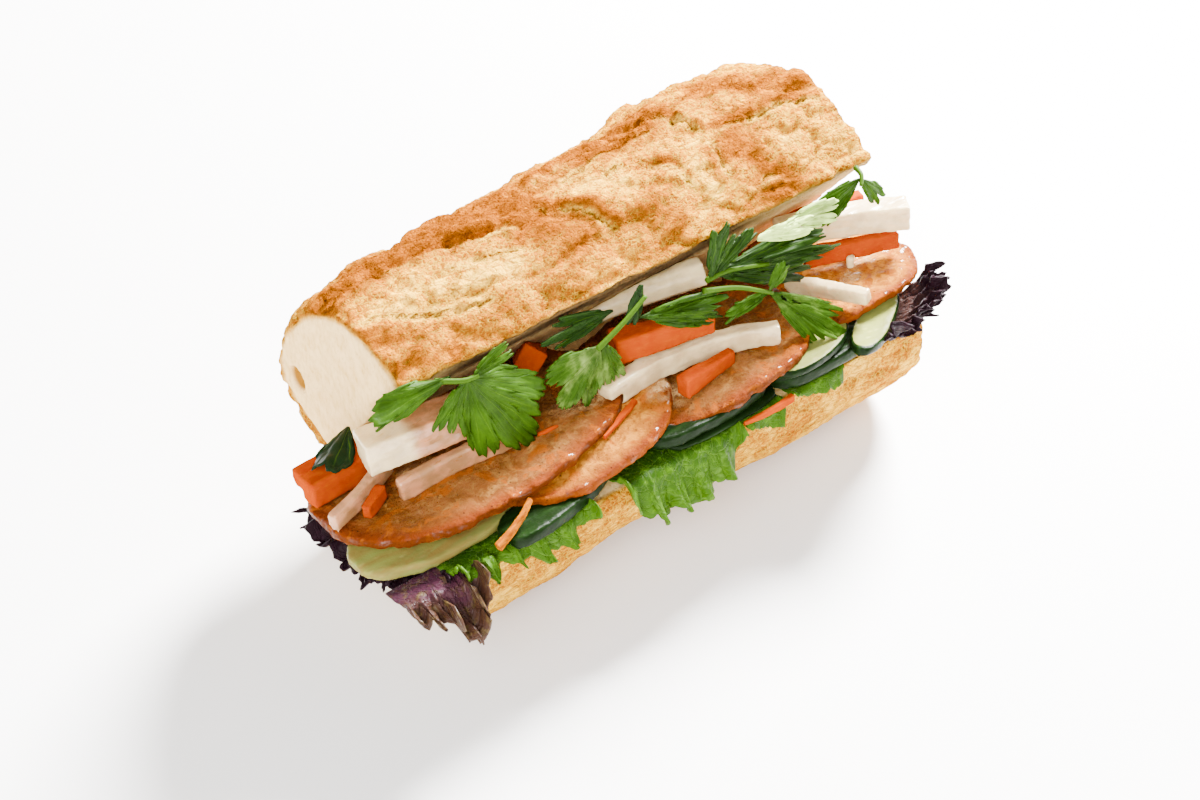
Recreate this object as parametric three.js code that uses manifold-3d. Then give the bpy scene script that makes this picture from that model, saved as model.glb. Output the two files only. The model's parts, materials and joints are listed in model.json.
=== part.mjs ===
// A banh mi: a crusty roll split along one long side, opened like a mouth about the crust left
// whole at its back, lying on its lower half and filled with salad leaves, cucumber, sliced ham,
// pickled daikon and carrot batons and sprigs of cilantro.
//
// Millimetres, +Z up. X runs along the roll, -Y is the open side, and z = 0 is the surface that
// the roll lies on. Three sets of working coordinates are used, all of them with x along the roll:
//   section  (y, z)     the roll's cross-section
//   lower    (s, h)     s out from the hinge along the lower cut face, h above that face
//   pile     (q, p)     q up the leaning front of the stacked batons, p out in front of it
import * as THREE from 'three';
import { mergeVertices } from 'three/addons/utils/BufferGeometryUtils.js';
import Module from 'manifold-3d';

const wasm = await Module();
wasm.setup();

// ---------------------------------------------------------------- driving dimensions
const rad = THREE.MathUtils.degToRad;
const GAP = 0.3;                    // room left where one piece bears on another
const LEAF = 0.6;                   // thickness of every leaf
const STEM = 1.8;                   // thickness of a cilantro stem

const roll = {
  left: -92,                        // cut end
  right: 95,                        // far end of the upper half
  lowerOverrun: 4,                  // how much further the lower half runs at the far end
  hingeHeight: 28.5,                // the line that both cut faces meet on, at y = 0
  hingeCrust: 9,                    // uncut crumb and crust in front of that line
  upperCut: 80.9,                   // width of the upper cut face
  upperAngle: 53.3,                 // its slope above level, degrees
  lowerCut: 83.4,
  lowerAngle: 11.6,
  lowerEndSlant: 13,                // how far the lower half's cut end runs in at its base
  upperEndSlant: 3.5,               // how far the upper half's cut end runs out at its back
  roundness: 2.35,                  // exponent of the D-shaped section
  baseRoundness: 3.2,               // the same for the back of the lower half, which lies flatter
  edgeCrust: 0.35,                  // how far the crust's cut edges stand over the crumb
  backSwell: [1.5, 2.5],            // fullness of the crust at the hinge, upper and lower half
  farEndRound: 0.05,                // share of its depth that the far end loses
  stations: 33,
  crustSteps: 18,
  baseSteps: 12,
  faceSteps: 4,
};
// Depth of the upper half above its cut face: [x, depth].
const upperDepth = [
  [-92, 36.5], [-84, 41], [-66, 43.2], [-40, 44], [-10, 46.5], [20, 48], [46, 53], [74, 53.2], [95, 49.5],
];
// Depth of the lower half below its cut face, which is waisted.
const lowerDepth = [[-92, 40.3], [-64, 38.9], [-25, 34.5], [5, 36], [30, 40]];
// Raised lips of crust beside the baker's scores: start and end as [x, degrees round the crust
// from the front edge], height and width.
const crustLips = [
  { from: [-74, 92], to: [-14, 74], height: 2.6, width: 7 },
  { from: [-16, 72], to: [4, 68], height: 1.6, width: 7 },
  { from: [-28, 104], to: [52, 92], height: 3.0, width: 8 },
  { from: [50, 76], to: [94, 88], height: 1.4, width: 5 },
];

// ---------------------------------------------------------------- small helpers
function smooth(low, high, value) {
  return THREE.MathUtils.smoothstep(value, low, high);
}

// A value read off a short list of [position, value] pairs, eased between them.
function along(pairs, position) {
  if (position <= pairs[0][0]) return pairs[0][1];
  for (let i = 1; i < pairs.length; i += 1) {
    const [start, before] = pairs[i - 1];
    const [end, after] = pairs[i];
    if (position <= end) return THREE.MathUtils.lerp(before, after, smooth(start, end, position));
  }
  return pairs[pairs.length - 1][1];
}

// A repeatable source of numbers from 0 to 1.
function seeded(seed) {
  let state = seed;
  return () => {
    state = (state * 1664525 + 1013904223) % 4294967296;
    return state / 4294967296;
  };
}

// Gentle unevenness over two directions: a few sine waves of seeded length, heading and phase.
function unevenness(seed, count, shortest, longest, height) {
  const next = seeded(seed);
  const waves = Array.from({ length: count }, () => {
    const wavelength = THREE.MathUtils.lerp(shortest, longest, next());
    const heading = next() * Math.PI;
    const rate = 2 * Math.PI / wavelength;
    return { a: rate * Math.cos(heading), b: rate * Math.sin(heading), phase: next() * 2 * Math.PI };
  });
  return (u, v) => {
    const total = waves.reduce((sum, wave) => sum + Math.sin(wave.a * u + wave.b * v + wave.phase), 0);
    return height * total / count;
  };
}

// ---------------------------------------------------------------- working coordinates
const lowerOut = [-Math.cos(rad(roll.lowerAngle)), Math.sin(rad(roll.lowerAngle))];
const lowerUp = [Math.sin(rad(roll.lowerAngle)), Math.cos(rad(roll.lowerAngle))];
const upperOut = [-Math.cos(rad(roll.upperAngle)), Math.sin(rad(roll.upperAngle))];
const upperUp = [Math.sin(rad(roll.upperAngle)), Math.cos(rad(roll.upperAngle))];

function lower(x, s, h) {
  return [
    x,
    s * lowerOut[0] + h * lowerUp[0],
    roll.hingeHeight + s * lowerOut[1] + h * lowerUp[1],
  ];
}

// The pile's front leans back this far from upright; its foot stands on the ham.
const pileLean = 12.5;
const pileFoot = [-56.3, 51.2];
const pileUp = [Math.sin(rad(pileLean)), Math.cos(rad(pileLean))];
const pileOut = [-pileUp[1], pileUp[0]];

function pile(x, q, p) {
  return [
    x,
    pileFoot[0] + q * pileUp[0] + p * pileOut[0],
    pileFoot[1] + q * pileUp[1] + p * pileOut[1],
  ];
}

// ---------------------------------------------------------------- closed solids from points
function toGeometry(points, faces) {
  const geometry = new THREE.BufferGeometry();
  geometry.setAttribute('position', new THREE.Float32BufferAttribute(points.flat(), 3));
  let volume = 0;
  const [a, b, c] = [new THREE.Vector3(), new THREE.Vector3(), new THREE.Vector3()];
  for (const face of faces) {
    a.fromArray(points[face[0]]);
    b.fromArray(points[face[1]]);
    c.fromArray(points[face[2]]);
    volume += a.dot(b.cross(c));
  }
  const outward = volume < 0 ? faces.map(([i, j, k]) => [i, k, j]) : faces;
  geometry.setIndex(outward.flat());
  return geometry;
}

// The solid between two sheets of (nu + 1) by (nv + 1) points, both split into triangles alike.
function sheetSolid(nu, nv, upperAt, lowerAt) {
  const points = [];
  for (const at of [upperAt, lowerAt]) {
    for (let i = 0; i <= nu; i += 1) {
      for (let j = 0; j <= nv; j += 1) points.push(at(i / nu, j / nv, i, j));
    }
  }
  const layer = (nu + 1) * (nv + 1);
  const index = (i, j) => i * (nv + 1) + j;
  const faces = [];
  for (let i = 0; i < nu; i += 1) {
    for (let j = 0; j < nv; j += 1) {
      const [a, b, c, d] = [index(i, j), index(i + 1, j), index(i + 1, j + 1), index(i, j + 1)];
      faces.push([a, b, c], [a, c, d]);
      faces.push([layer + a, layer + c, layer + b], [layer + a, layer + d, layer + c]);
    }
  }
  const rim = [];
  for (let i = 0; i < nu; i += 1) rim.push(index(i, 0));
  for (let j = 0; j < nv; j += 1) rim.push(index(nu, j));
  for (let i = nu; i > 0; i -= 1) rim.push(index(i, nv));
  for (let j = nv; j > 0; j -= 1) rim.push(index(0, j));
  rim.forEach((start, k) => {
    const end = rim[(k + 1) % rim.length];
    faces.push([start, layer + end, end], [start, layer + start, layer + end]);
  });
  return toGeometry(points, faces);
}

// The solid through a row of closed rings, each with the same number of points; outline gives
// the flat shape of a ring for closing the two ends.
function ringSolid(rings, outline) {
  const count = rings[0].length;
  const points = rings.flat();
  const faces = [];
  for (let i = 0; i + 1 < rings.length; i += 1) {
    for (let k = 0; k < count; k += 1) {
      const next = (k + 1) % count;
      const [a, b] = [i * count + k, i * count + next];
      faces.push([a, b, b + count], [a, b + count, a + count]);
    }
  }
  for (const [first, flip] of [[0, true], [(rings.length - 1) * count, false]]) {
    const ring = rings[first / count];
    const flat = ring.map((point) => new THREE.Vector2(...outline(point)));
    const caps = THREE.ShapeUtils.triangulateShape(flat, []);
    const turned = THREE.ShapeUtils.isClockWise(flat) !== flip;
    for (const [i, j, k] of caps) {
      faces.push(turned ? [first + i, first + k, first + j] : [first + i, first + j, first + k]);
    }
  }
  return toGeometry(points, faces);
}

// ---------------------------------------------------------------- the roll
const crustWaves = unevenness(11, 7, 16, 46, 1.5);
const crumbWaves = unevenness(5, 4, 18, 40, 0.35);

// How far the crust stands out along the lips beside the scores.
function lipHeight(x, degrees) {
  let height = 0;
  for (const lip of crustLips) {
    const share = (x - lip.from[0]) / (lip.to[0] - lip.from[0]);
    const ends = smooth(-0.08, 0.12, share) * (1 - smooth(0.85, 1.08, share));
    const away = degrees - THREE.MathUtils.lerp(lip.from[1], lip.to[1], share);
    const steep = away > 0 ? 0.55 : 1.6;        // a lip drops sharply on one side
    height += lip.height * ends * Math.exp(-((away / (lip.width * steep)) ** 2));
  }
  return height;
}

// A point of the D-shaped section: turn runs from 0 at the open edge to 180 at the hinge.
function sectionPoint(out, up, width, depth, turn) {
  const power = 2 / (up[1] < 0 && turn > 90 ? roll.baseRoundness : roll.roundness);
  const cosine = Math.cos(rad(turn));
  const across = Math.sign(cosine) * Math.abs(cosine) ** power;
  const rise = depth * Math.sin(rad(turn)) ** power;
  const reach = (width / 2) * (1 + across);
  return [reach * out[0] + rise * up[0], reach * out[1] + rise * up[1] + roll.hingeHeight];
}

function moved(point, centre, distance) {
  const [y, z] = [point[0] - centre[0], point[1] - centre[1]];
  const length = Math.hypot(y, z);
  return [point[0] + distance * y / length, point[1] + distance * z / length];
}

// One closed ring of the roll's section at x, grown outwards, and into the mouth, by grow.
function rollRing(x, grow) {
  const ring = [];
  const depth = along(upperDepth, x);
  const baseDepth = along(lowerDepth, x);
  const endRound = 1 - roll.farEndRound * smooth(roll.right - 5, roll.right, x);
  const under = lowerUp.map((value) => -value);
  const upperCentre = sectionPoint(upperOut, upperUp, roll.upperCut, depth * 0.4, 90);
  const lowerCentre = sectionPoint(lowerOut, under, roll.lowerCut, baseDepth * 0.4, 90);
  const middle = rad((roll.upperAngle + roll.lowerAngle) / 2);
  const apex = [
    -roll.hingeCrust * Math.cos(middle) - 1.5 * grow,
    roll.hingeHeight + roll.hingeCrust * Math.sin(middle) + grow,
  ];
  const cutEdges = [
    [lowerOut, lowerUp, roll.lowerCut],
    [upperOut, upperUp.map((value) => -value), roll.upperCut],
  ];
  const [lowerEdge, upperEdge] = cutEdges.map(([out, up, width]) => [
    width * out[0] + grow * up[0],
    roll.hingeHeight + width * out[1] + grow * up[1],
  ]);
  for (const [from, to] of [[lowerEdge, apex], [apex, upperEdge]]) {
    const sink = from === apex ? roll.edgeCrust : -roll.edgeCrust;
    for (let i = 0; i < roll.faceSteps; i += 1) {
      const share = i / roll.faceSteps;
      const [y, z] = from.map((value, axis) => THREE.MathUtils.lerp(value, to[axis], share));
      ring.push([y, z + sink + (i === 0 ? 0 : crumbWaves(x, y + z))]);
    }
  }
  for (let i = 0; i < roll.crustSteps; i += 1) {
    const turn = 180 * i / roll.crustSteps;
    const point = sectionPoint(upperOut, upperUp, roll.upperCut, depth * endRound, turn);
    const edge = smooth(0, 24, turn);
    const relief = edge * (crustWaves(x, depth * rad(turn)) + lipHeight(x, turn));
    ring.push(moved(point, upperCentre, relief + grow + roll.backSwell[0] * smooth(150, 180, turn)));
  }
  for (let i = 0; i < roll.baseSteps; i += 1) {
    const turn = 180 - 180 * i / roll.baseSteps;
    const point = sectionPoint(lowerOut, under, roll.lowerCut, baseDepth * endRound, turn);
    const relief = 0.5 * crustWaves(x + 300, baseDepth * rad(turn)) * smooth(0, 13, point[1]);
    const [y, z] = moved(point, lowerCentre, relief + grow + roll.backSwell[1] * smooth(150, 180, turn));
    ring.push([y, Math.max(z, -grow)]);
  }
  return ring;
}

function rollSolid(grow) {
  const rings = [];
  for (let i = 0; i <= roll.stations; i += 1) {
    const x = THREE.MathUtils.lerp(roll.left - grow, roll.right + grow, i / roll.stations);
    const ring = rollRing(THREE.MathUtils.clamp(x, roll.left, roll.right), grow);
    const cutEnd = roll.lowerEndSlant * (1 - smooth(roll.left, roll.left + 26, x));
    const backEnd = roll.upperEndSlant * (1 - smooth(roll.left, roll.left + 26, x));
    const farEnd = roll.lowerOverrun * smooth(roll.right - 20, roll.right, x);
    rings.push(ring.map(([y, z]) => {
      const low = cutEnd * (1 - smooth(0, 27, z)) + farEnd * (1 - smooth(25, 47, z));
      const back = backEnd * smooth(31, 57, z) * smooth(-45, 0, y);
      return [x + low - back, y, z];
    }));
  }
  return ringSolid(rings, ([, y, z]) => [y, z]);
}

// ---------------------------------------------------------------- sliced fillings
// A slice with a rounded outline lying on the lower half. Its height above the cut face is
// read off lift along x, plus slope for each millimetre out from the hinge; its rim droops.
function slice(shape, grow = 0) {
  const { centre, halfLength, halfWidth, thickness } = shape;
  const { roundness = 2.4, lift, slope = 0, droop = 0, wave, seed = 1 } = shape;
  const { columns = 14, rows = 3, crown = 0, turn = 0 } = shape;
  const [cosTurn, sinTurn] = [Math.cos(rad(turn)), Math.sin(rad(turn))];
  const waves = unevenness(seed, 4, 22, 48, wave);
  const place = (u, v, side) => {
    const t = Math.sin((u - 0.5) * Math.PI * 0.93) / Math.sin(Math.PI * 0.465);
    const end = (1 - Math.abs(t * 0.985) ** roundness) ** (1 / roundness);
    const across = (v * 2 - 1) * end;
    const [lengthwise, sideways] = [t * (halfLength + grow), across * (halfWidth + grow)];
    const x = centre[0] + lengthwise * cosTurn - sideways * sinTurn;
    const s = centre[1] + lengthwise * sinTurn + sideways * cosTurn;
    const rim = smooth(0.35, 1, across);
    const middle = along(lift, x) + slope * (s - centre[1]) - droop * rim + waves(x, s);
    const bulge = crown * (1 - Math.abs(v * 2 - 1) ** 3);
    return lower(x, s, middle + side * (thickness / 2 + grow + bulge));
  };
  return sheetSolid(columns, rows, (u, v) => place(u, v, 1), (u, v) => place(u, v, -1));
}

// ---------------------------------------------------------------- batons, shreds and stems
// A bar swept through points, each [x, q, p] on the pile or [x, s, h] on the lower half, with a
// section of height by depth that changes evenly along it.
function bar(shape, grow = 0) {
  const { on = pile, through, height, depth, sides = 4, steps } = shape;
  const route = new THREE.CatmullRomCurve3(through.map((point) => new THREE.Vector3(...on(...point))));
  const rings = [];
  const up = new THREE.Vector3(...on(0, 1, 0)).sub(new THREE.Vector3(...on(0, 0, 0)));
  for (let i = 0; i <= steps; i += 1) {
    const share = i / steps;
    const forward = route.getTangentAt(share);
    const side = new THREE.Vector3().crossVectors(forward, up).normalize();
    const top = new THREE.Vector3().crossVectors(side, forward).normalize();
    const overrun = i === 0 ? -grow : i === steps ? grow : 0;
    const centre = route.getPointAt(share).addScaledVector(forward, overrun);
    const tall = THREE.MathUtils.lerp(height[0], height[1], share) / 2 + grow;
    const deep = THREE.MathUtils.lerp(depth[0], depth[1], share) / 2 + grow;
    const ring = [];
    for (let k = 0; k < sides; k += 1) {
      const angle = 2 * Math.PI * (k + 0.5) / sides;
      const stretch = sides === 4 ? Math.SQRT2 : 1;
      const [c, s] = [Math.cos(angle) * stretch * deep, Math.sin(angle) * stretch * tall];
      ring.push(centre.clone().addScaledVector(side, c).addScaledVector(top, s).toArray());
    }
    rings.push(ring);
  }
  const capUp = up.clone().normalize();
  const capSide = new THREE.Vector3().crossVectors(route.getTangentAt(0.5), capUp).normalize();
  return ringSolid(rings, (point) => {
    const vector = new THREE.Vector3(...point);
    return [vector.dot(capSide), vector.dot(capUp)];
  });
}

// ---------------------------------------------------------------- leaves
// A fan-shaped leaflet: it spreads from its hub in lobes with toothed edges. heading is the way
// the middle lobe points, degrees anticlockwise from +x in the plane of the pile's front.
function leaflet(shape, grow = 0) {
  const { on = pile, hub, heading, length, spread, lobes = 3, teeth = 3 } = shape;
  const { notch = 0.34, tooth = 0.12, cup = 0.1, tilt = 0, falloff = 0.45 } = shape;
  const columns = lobes * teeth * 2;
  const half = LEAF / 2 + grow;
  const neck = 0.5;                 // where it starts, inside the stem
  const place = (u, v, side, i) => {
    const offset = u * 2 - 1;
    const angle = rad(heading + offset * spread);
    const lobe = Math.abs(Math.sin(lobes * Math.PI * u)) ** 0.6;
    const edge = 1 - notch * (1 - lobe) - (i % 2 === 0 ? tooth : 0);
    const outline = edge * (1 - falloff * Math.abs(offset) ** 1.7);
    const reach = neck + v * (length * outline + grow - neck);
    const ripple = cup * length * (0.35 * Math.cos(lobes * 2 * Math.PI * u) * v - offset * offset * v);
    const p = hub[2] + ripple + tilt * reach + side * half;
    return on(hub[0] + reach * Math.cos(angle), hub[1] + reach * Math.sin(angle), p);
  };
  const rows = length > 25 ? 2 : 1;
  return sheetSolid(columns, rows, (u, v, i) => place(u, v, 1, i), (u, v, i) => place(u, v, -1, i));
}

// A salad leaf that lies on the lower half and drops over its edge. Its rim runs from one
// station to the next, each [x, distance past the edge], and is ruffled and toothed.
function frill(shape, grow = 0) {
  const { rim, inner, lift, ruffle, waves, teeth = 0.8, columns, rows = 3, bend = 2.6 } = shape;
  const { lean = 80, phase = 0 } = shape;
  const [start, end] = [rim[0][0], rim[rim.length - 1][0]];
  const half = LEAF / 2 + grow;
  const place = (u, v, side, i) => {
    const x = THREE.MathUtils.lerp(start, end, u);
    const jag = teeth * (i % 2 === 0 ? -1 : 1) * v * v;
    const reach = inner + v * (roll.lowerCut + along(rim, x) - inner) + jag + grow * v;
    const past = Math.max(0, reach - roll.lowerCut);
    const angle = Math.min(past / bend, rad(lean));
    const straight = Math.max(0, past - bend * angle);
    const swing = ruffle * Math.sin(2 * Math.PI * waves * u + phase) * v ** 3;
    const normal = [Math.sin(angle), Math.cos(angle)];
    const out = swing + side * half + (past > 0 ? Math.abs(ruffle) * v ** 3 : 0);
    const s = Math.min(reach, roll.lowerCut) + bend * Math.sin(angle) + straight * Math.cos(angle);
    const h = lift - bend * (1 - Math.cos(angle)) - straight * Math.sin(angle);
    const shift = 0.35 * ruffle * Math.cos(2 * Math.PI * waves * u + phase) * v * v;
    return lower(x + shift, s + out * normal[0], h + out * normal[1]);
  };
  return sheetSolid(columns, rows, (u, v, i) => place(u, v, 1, i), (u, v, i) => place(u, v, -1, i));
}

// A ruffled leaf that overhangs an end of the roll: its rim sweeps round from the side of the
// sandwich to the front, sinking as it goes further past the bread.
function endFrill(shape, grow = 0) {
  const { centre, reachX, reachS, from, to, inner = 0.45, lift, sink, ruffle, waves } = shape;
  const { columns, rows = 3, teeth = 0.05, squareness } = shape;
  const power = (value) => Math.sign(value) * Math.abs(value) ** squareness;
  const half = LEAF / 2 + grow;
  const place = (u, v, side, i) => {
    const angle = rad(THREE.MathUtils.lerp(from, to, u));
    const jag = 1 + teeth * (i % 2 === 0 ? -1 : 1) * v * v;
    const share = THREE.MathUtils.lerp(inner, 1, v) * jag;
    const x = centre[0] + (reachX + grow) * power(Math.cos(angle)) * share;
    const s = centre[1] + (reachS + grow) * power(Math.sin(angle)) * share;
    const swing = ruffle * Math.sin(2 * Math.PI * waves * u) * v * v;
    const h = lift + swing - along(sink, u) * v ** 2 + side * half;
    return lower(x, s, h);
  };
  return sheetSolid(columns, rows, (u, v, i) => place(u, v, 1, i), (u, v, i) => place(u, v, -1, i));
}

// ---------------------------------------------------------------- the pieces
const crust = { color: 0xd59a54, roughness: 0.72 };
const meat = { color: 0xc4774a, roughness: 0.45 };
const cucumberSkin = { color: 0x24502f, roughness: 0.3 };
const cucumberFlesh = { color: 0xb9c98c, roughness: 0.35 };
const daikon = { color: 0xe9e4d6, roughness: 0.3 };
const carrot = { color: 0xf07a1e, roughness: 0.4 };
const cilantro = { color: 0x4c8c2a, roughness: 0.5 };
const paleCilantro = { color: 0x8fae5e, roughness: 0.5 };
const lettuce = { color: 0x5fa02e, roughness: 0.45 };
const redLeaf = { color: 0x3d2230, roughness: 0.45 };
const bronzeLeaf = { color: 0x6b4a45, roughness: 0.5 };

const pieces = [];

function add(name, finish, build) {
  pieces.push({ name, finish, build });
}

add('roll', crust, rollSolid);

// Ham: four overlapping slices, each with its right end over the next one's left.
const hams = [
  {
    centre: [-65, 47], halfLength: 52.5, halfWidth: 33, lift: [[-100, 11.2], [-70, 13.8], [-30, 16.2]],
    slope: 0.085, droop: 2.2, wave: 0.9, seed: 21, columns: 16,
  },
  {
    centre: [-38, 52], halfLength: 39, halfWidth: 34, lift: [[-50, 9.4], [-20, 12.4]],
    slope: 0.085, droop: 3.6, wave: 0.5, seed: 22,
  },
  {
    centre: [19, 52], halfLength: 42, halfWidth: 34, lift: [[-6, 8.4], [24, 12.4]],
    slope: 0.085, droop: 3.0, wave: 0.6, seed: 23,
  },
  {
    centre: [80.5, 48], halfLength: 29, halfWidth: 31, lift: [[60, 8.4], [80, 11.4]],
    slope: 0.085, droop: 0.8, wave: 0.6, seed: 24, roundness: 2.9,
  },
];
hams.forEach((ham, i) => {
  add(`ham_slice_${i + 1}`, meat, (grow) => slice({ thickness: 3.4, roundness: 2.3, ...ham }, grow));
});

// Cucumber: long slices between the leaves and the ham.
const cucumbers = [
  { name: 'cucumber_flesh_left', finish: cucumberFlesh, centre: [-89, 63.5], halfLength: 29, halfWidth: 15,
    lift: [[-110, 6.0], [-70, 6.4]], slope: -0.05, thickness: 3.2 },
  { name: 'cucumber_long_left', finish: cucumberSkin, centre: [-57, 79.5], halfLength: 22, halfWidth: 8,
    turn: -14, lift: [[-70, 6], [-44, 5.2]], slope: 0, thickness: 4.4, roundness: 3.2 },
  { name: 'cucumber_long_middle', finish: cucumberSkin, centre: [4, 72], halfLength: 25, halfWidth: 13,
    lift: [[-20, 7.1], [26, 7.1]], slope: 0, thickness: 4.4, roundness: 3.4 },
  { name: 'cucumber_low_middle', finish: cucumberSkin, centre: [8, 78], halfLength: 22, halfWidth: 8,
    lift: [[0, 3.5], [30, 3.5]], slope: 0, thickness: 1.8, roundness: 3.4 },
  { name: 'cucumber_right', finish: cucumberSkin, centre: [52, 73], halfLength: 22, halfWidth: 13,
    lift: [[30, 4.9], [66, 4.9]], slope: 0, thickness: 4.6, roundness: 3.2 },
  { name: 'cucumber_flesh_right', finish: cucumberFlesh, centre: [48, 73], halfLength: 20, halfWidth: 13,
    turn: -14, lift: [[30, 9.2], [62, 9.2]], slope: 0, thickness: 3.0 },
  { name: 'cucumber_flesh_far', finish: cucumberFlesh, centre: [76, 80], halfLength: 21, halfWidth: 6,
    turn: -33, lift: [[56, 9.4], [76, 7.4]], slope: 0, thickness: 3.4 },
];
for (const { name, finish, ...shape } of cucumbers) {
  add(name, finish, (grow) => slice({ columns: 10, rows: 2, wave: 0.15, crown: 0.2, ...shape }, grow));
}

// Batons of pickled daikon and carrot, stacked on the ham and under the upper half.
const batons = [
  { name: 'daikon_long', finish: daikon, height: [6.5, 5], depth: [8, 7], steps: 6,
    through: [[-24, 63.5, 19.2], [-4, 61.5, 19], [10, 63.5, 19], [27, 68, 19], [38.5, 75, 18.8]] },
  { name: 'carrot_chunk', finish: carrot, height: [5.5, 3.5], depth: [7, 5], steps: 2,
    through: [[-1.5, 74, 16.8], [10, 73, 17], [21, 72, 17.2]] },
  { name: 'carrot_middle', finish: carrot, height: [9, 5.5], depth: [9, 8], steps: 3,
    through: [[-13, 55, 28.6], [2, 60, 28.6], [20, 64, 28]] },
  { name: 'daikon_round', finish: daikon, height: [10, 11], depth: [10, 10], sides: 8, steps: 3,
    through: [[-16, 36, 31], [4, 43, 34.5], [27, 52, 37]] },
  { name: 'carrot_upper_left', finish: carrot, height: [8, 8], depth: [8, 8], steps: 2,
    through: [[-26, 28, 20], [-33, 38, 27], [-39, 48, 33]] },
  { name: 'daikon_strip_far', finish: daikon, height: [4, 4], depth: [6.5, 5], steps: 4,
    through: [[62, 52, 16.6], [66, 62, 17], [70, 72, 17.8], [73, 80, 18.4]] },
  { name: 'daikon_bit_far', finish: daikon, height: [2.4, 2.4], depth: [6, 5], steps: 2,
    through: [[95, 46, 15.8], [90, 53, 16], [85, 59, 16.2]] },
  { name: 'carrot_far', finish: carrot, height: [4.5, 4], depth: [7, 6], steps: 3,
    through: [[72, 50, 20.6], [86, 56, 20.6], [103, 63, 20.4]] },
  { name: 'daikon_far', finish: daikon, height: [8.5, 9], depth: [9, 9], steps: 3,
    through: [[66, 44, 30], [88, 51, 29], [107, 64, 29]] },
  { name: 'carrot_far_upper', finish: carrot, height: [6, 5], depth: [6, 6], steps: 2,
    through: [[76, 36, 26.5], [90, 41, 27.6], [103, 46, 28.6]] },
  { name: 'carrot_end', finish: carrot, height: [7.5, 7.5], depth: [9, 8.5], steps: 3,
    through: [[-116, 37, 17.4], [-98, 36.5, 18], [-76, 35, 19]] },
  { name: 'carrot_end_inner', finish: carrot, height: [6, 6], depth: [6, 6], steps: 2,
    through: [[-113, 25, 13.8], [-98, 25, 14], [-76, 25, 14.6]] },
  { name: 'daikon_block', finish: daikon, height: [11.5, 11], depth: [11, 11], steps: 3,
    through: [[-101, 47.5, 30], [-84, 51, 30.6], [-58, 56, 31.6]] },
  { name: 'daikon_strip_left', finish: daikon, height: [3.2, 3.4], depth: [6, 6.5], steps: 3,
    through: [[-118, 54.5, 17.2], [-105, 50, 17.8], [-91, 43.5, 19.2]] },
  { name: 'daikon_slab_left', finish: daikon, height: [3.8, 3.8], depth: [8.5, 8], steps: 3,
    through: [[-95.5, 56, 17.6], [-78, 58, 19.2], [-54, 61.5, 21]] },
  { name: 'carrot_bit_left', finish: carrot, height: [3, 3.4], depth: [5, 5], steps: 1,
    through: [[-107.5, 56, 15.8], [-98.5, 51, 16.8]] },
];
for (const { name, finish, ...shape } of batons) {
  add(name, finish, (grow) => bar({ on: lower, ...shape }, grow));
}

// Salad leaves over the edge of the lower half.
const saladLeaves = [
  { name: 'lettuce_left', finish: lettuce, inner: 74, lift: 2.2, ruffle: 1.8, waves: 4.5, columns: 20,
    rim: [[-98, 1], [-92, 3], [-86, 6], [-81, 3.5], [-75, 6], [-67, 9], [-60, 9], [-52, 6], [-46, 1]] },
  { name: 'lettuce_middle', finish: lettuce, inner: 74, lift: 1.5, ruffle: 1.5, waves: 4, columns: 20,
    phase: 1, rim: [[-36, 2], [-30, 14], [-22, 17], [-13, 18], [-4, 16], [5, 15], [11, 4]] },
  { name: 'lettuce_bit_middle', finish: lettuce, inner: 76, lift: 1.5, ruffle: 0.9, waves: 1.5, columns: 8,
    rows: 2, rim: [[12, 2], [20, 7], [27, 9], [30, 2]] },
  { name: 'lettuce_bit_right', finish: lettuce, inner: 76, lift: 1.5, ruffle: 0.7, waves: 1.5, columns: 8,
    rows: 2, phase: 2, rim: [[34, 2], [44, 5], [54, 7], [57, 2]] },
  { name: 'red_leaf_lobe', finish: bronzeLeaf, inner: 74, lift: 1, ruffle: 1.8, waves: 3.5, columns: 14,
    lean: 72, rim: [[-112, 6], [-107, 12], [-101, 14], [-96, 21], [-91, 19], [-86, 9], [-80, 2]] },
];
for (const { name, finish, ...shape } of saladLeaves) {
  add(name, finish, (grow) => frill(shape, grow));
}
add('red_leaf_left', redLeaf, (grow) => endFrill({
  centre: [-83, 42], reachX: 32, reachS: 42, from: 204, to: 106, lift: 0.9, squareness: 0.75,
  sink: [[0, 2], [0.5, 4], [1, 3]], ruffle: 2.6, waves: 6, columns: 24,
}, grow));
add('red_leaf_right', redLeaf, (grow) => endFrill({
  centre: [72, 56], reachX: 40, reachS: 37, from: 92, to: 22, lift: 1.2, squareness: 0.8,
  sink: [[0, -8], [0.5, -10], [1, -9]], ruffle: 2.4, waves: 4, columns: 20, inner: 0.66, rows: 2,
}, grow));

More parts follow.
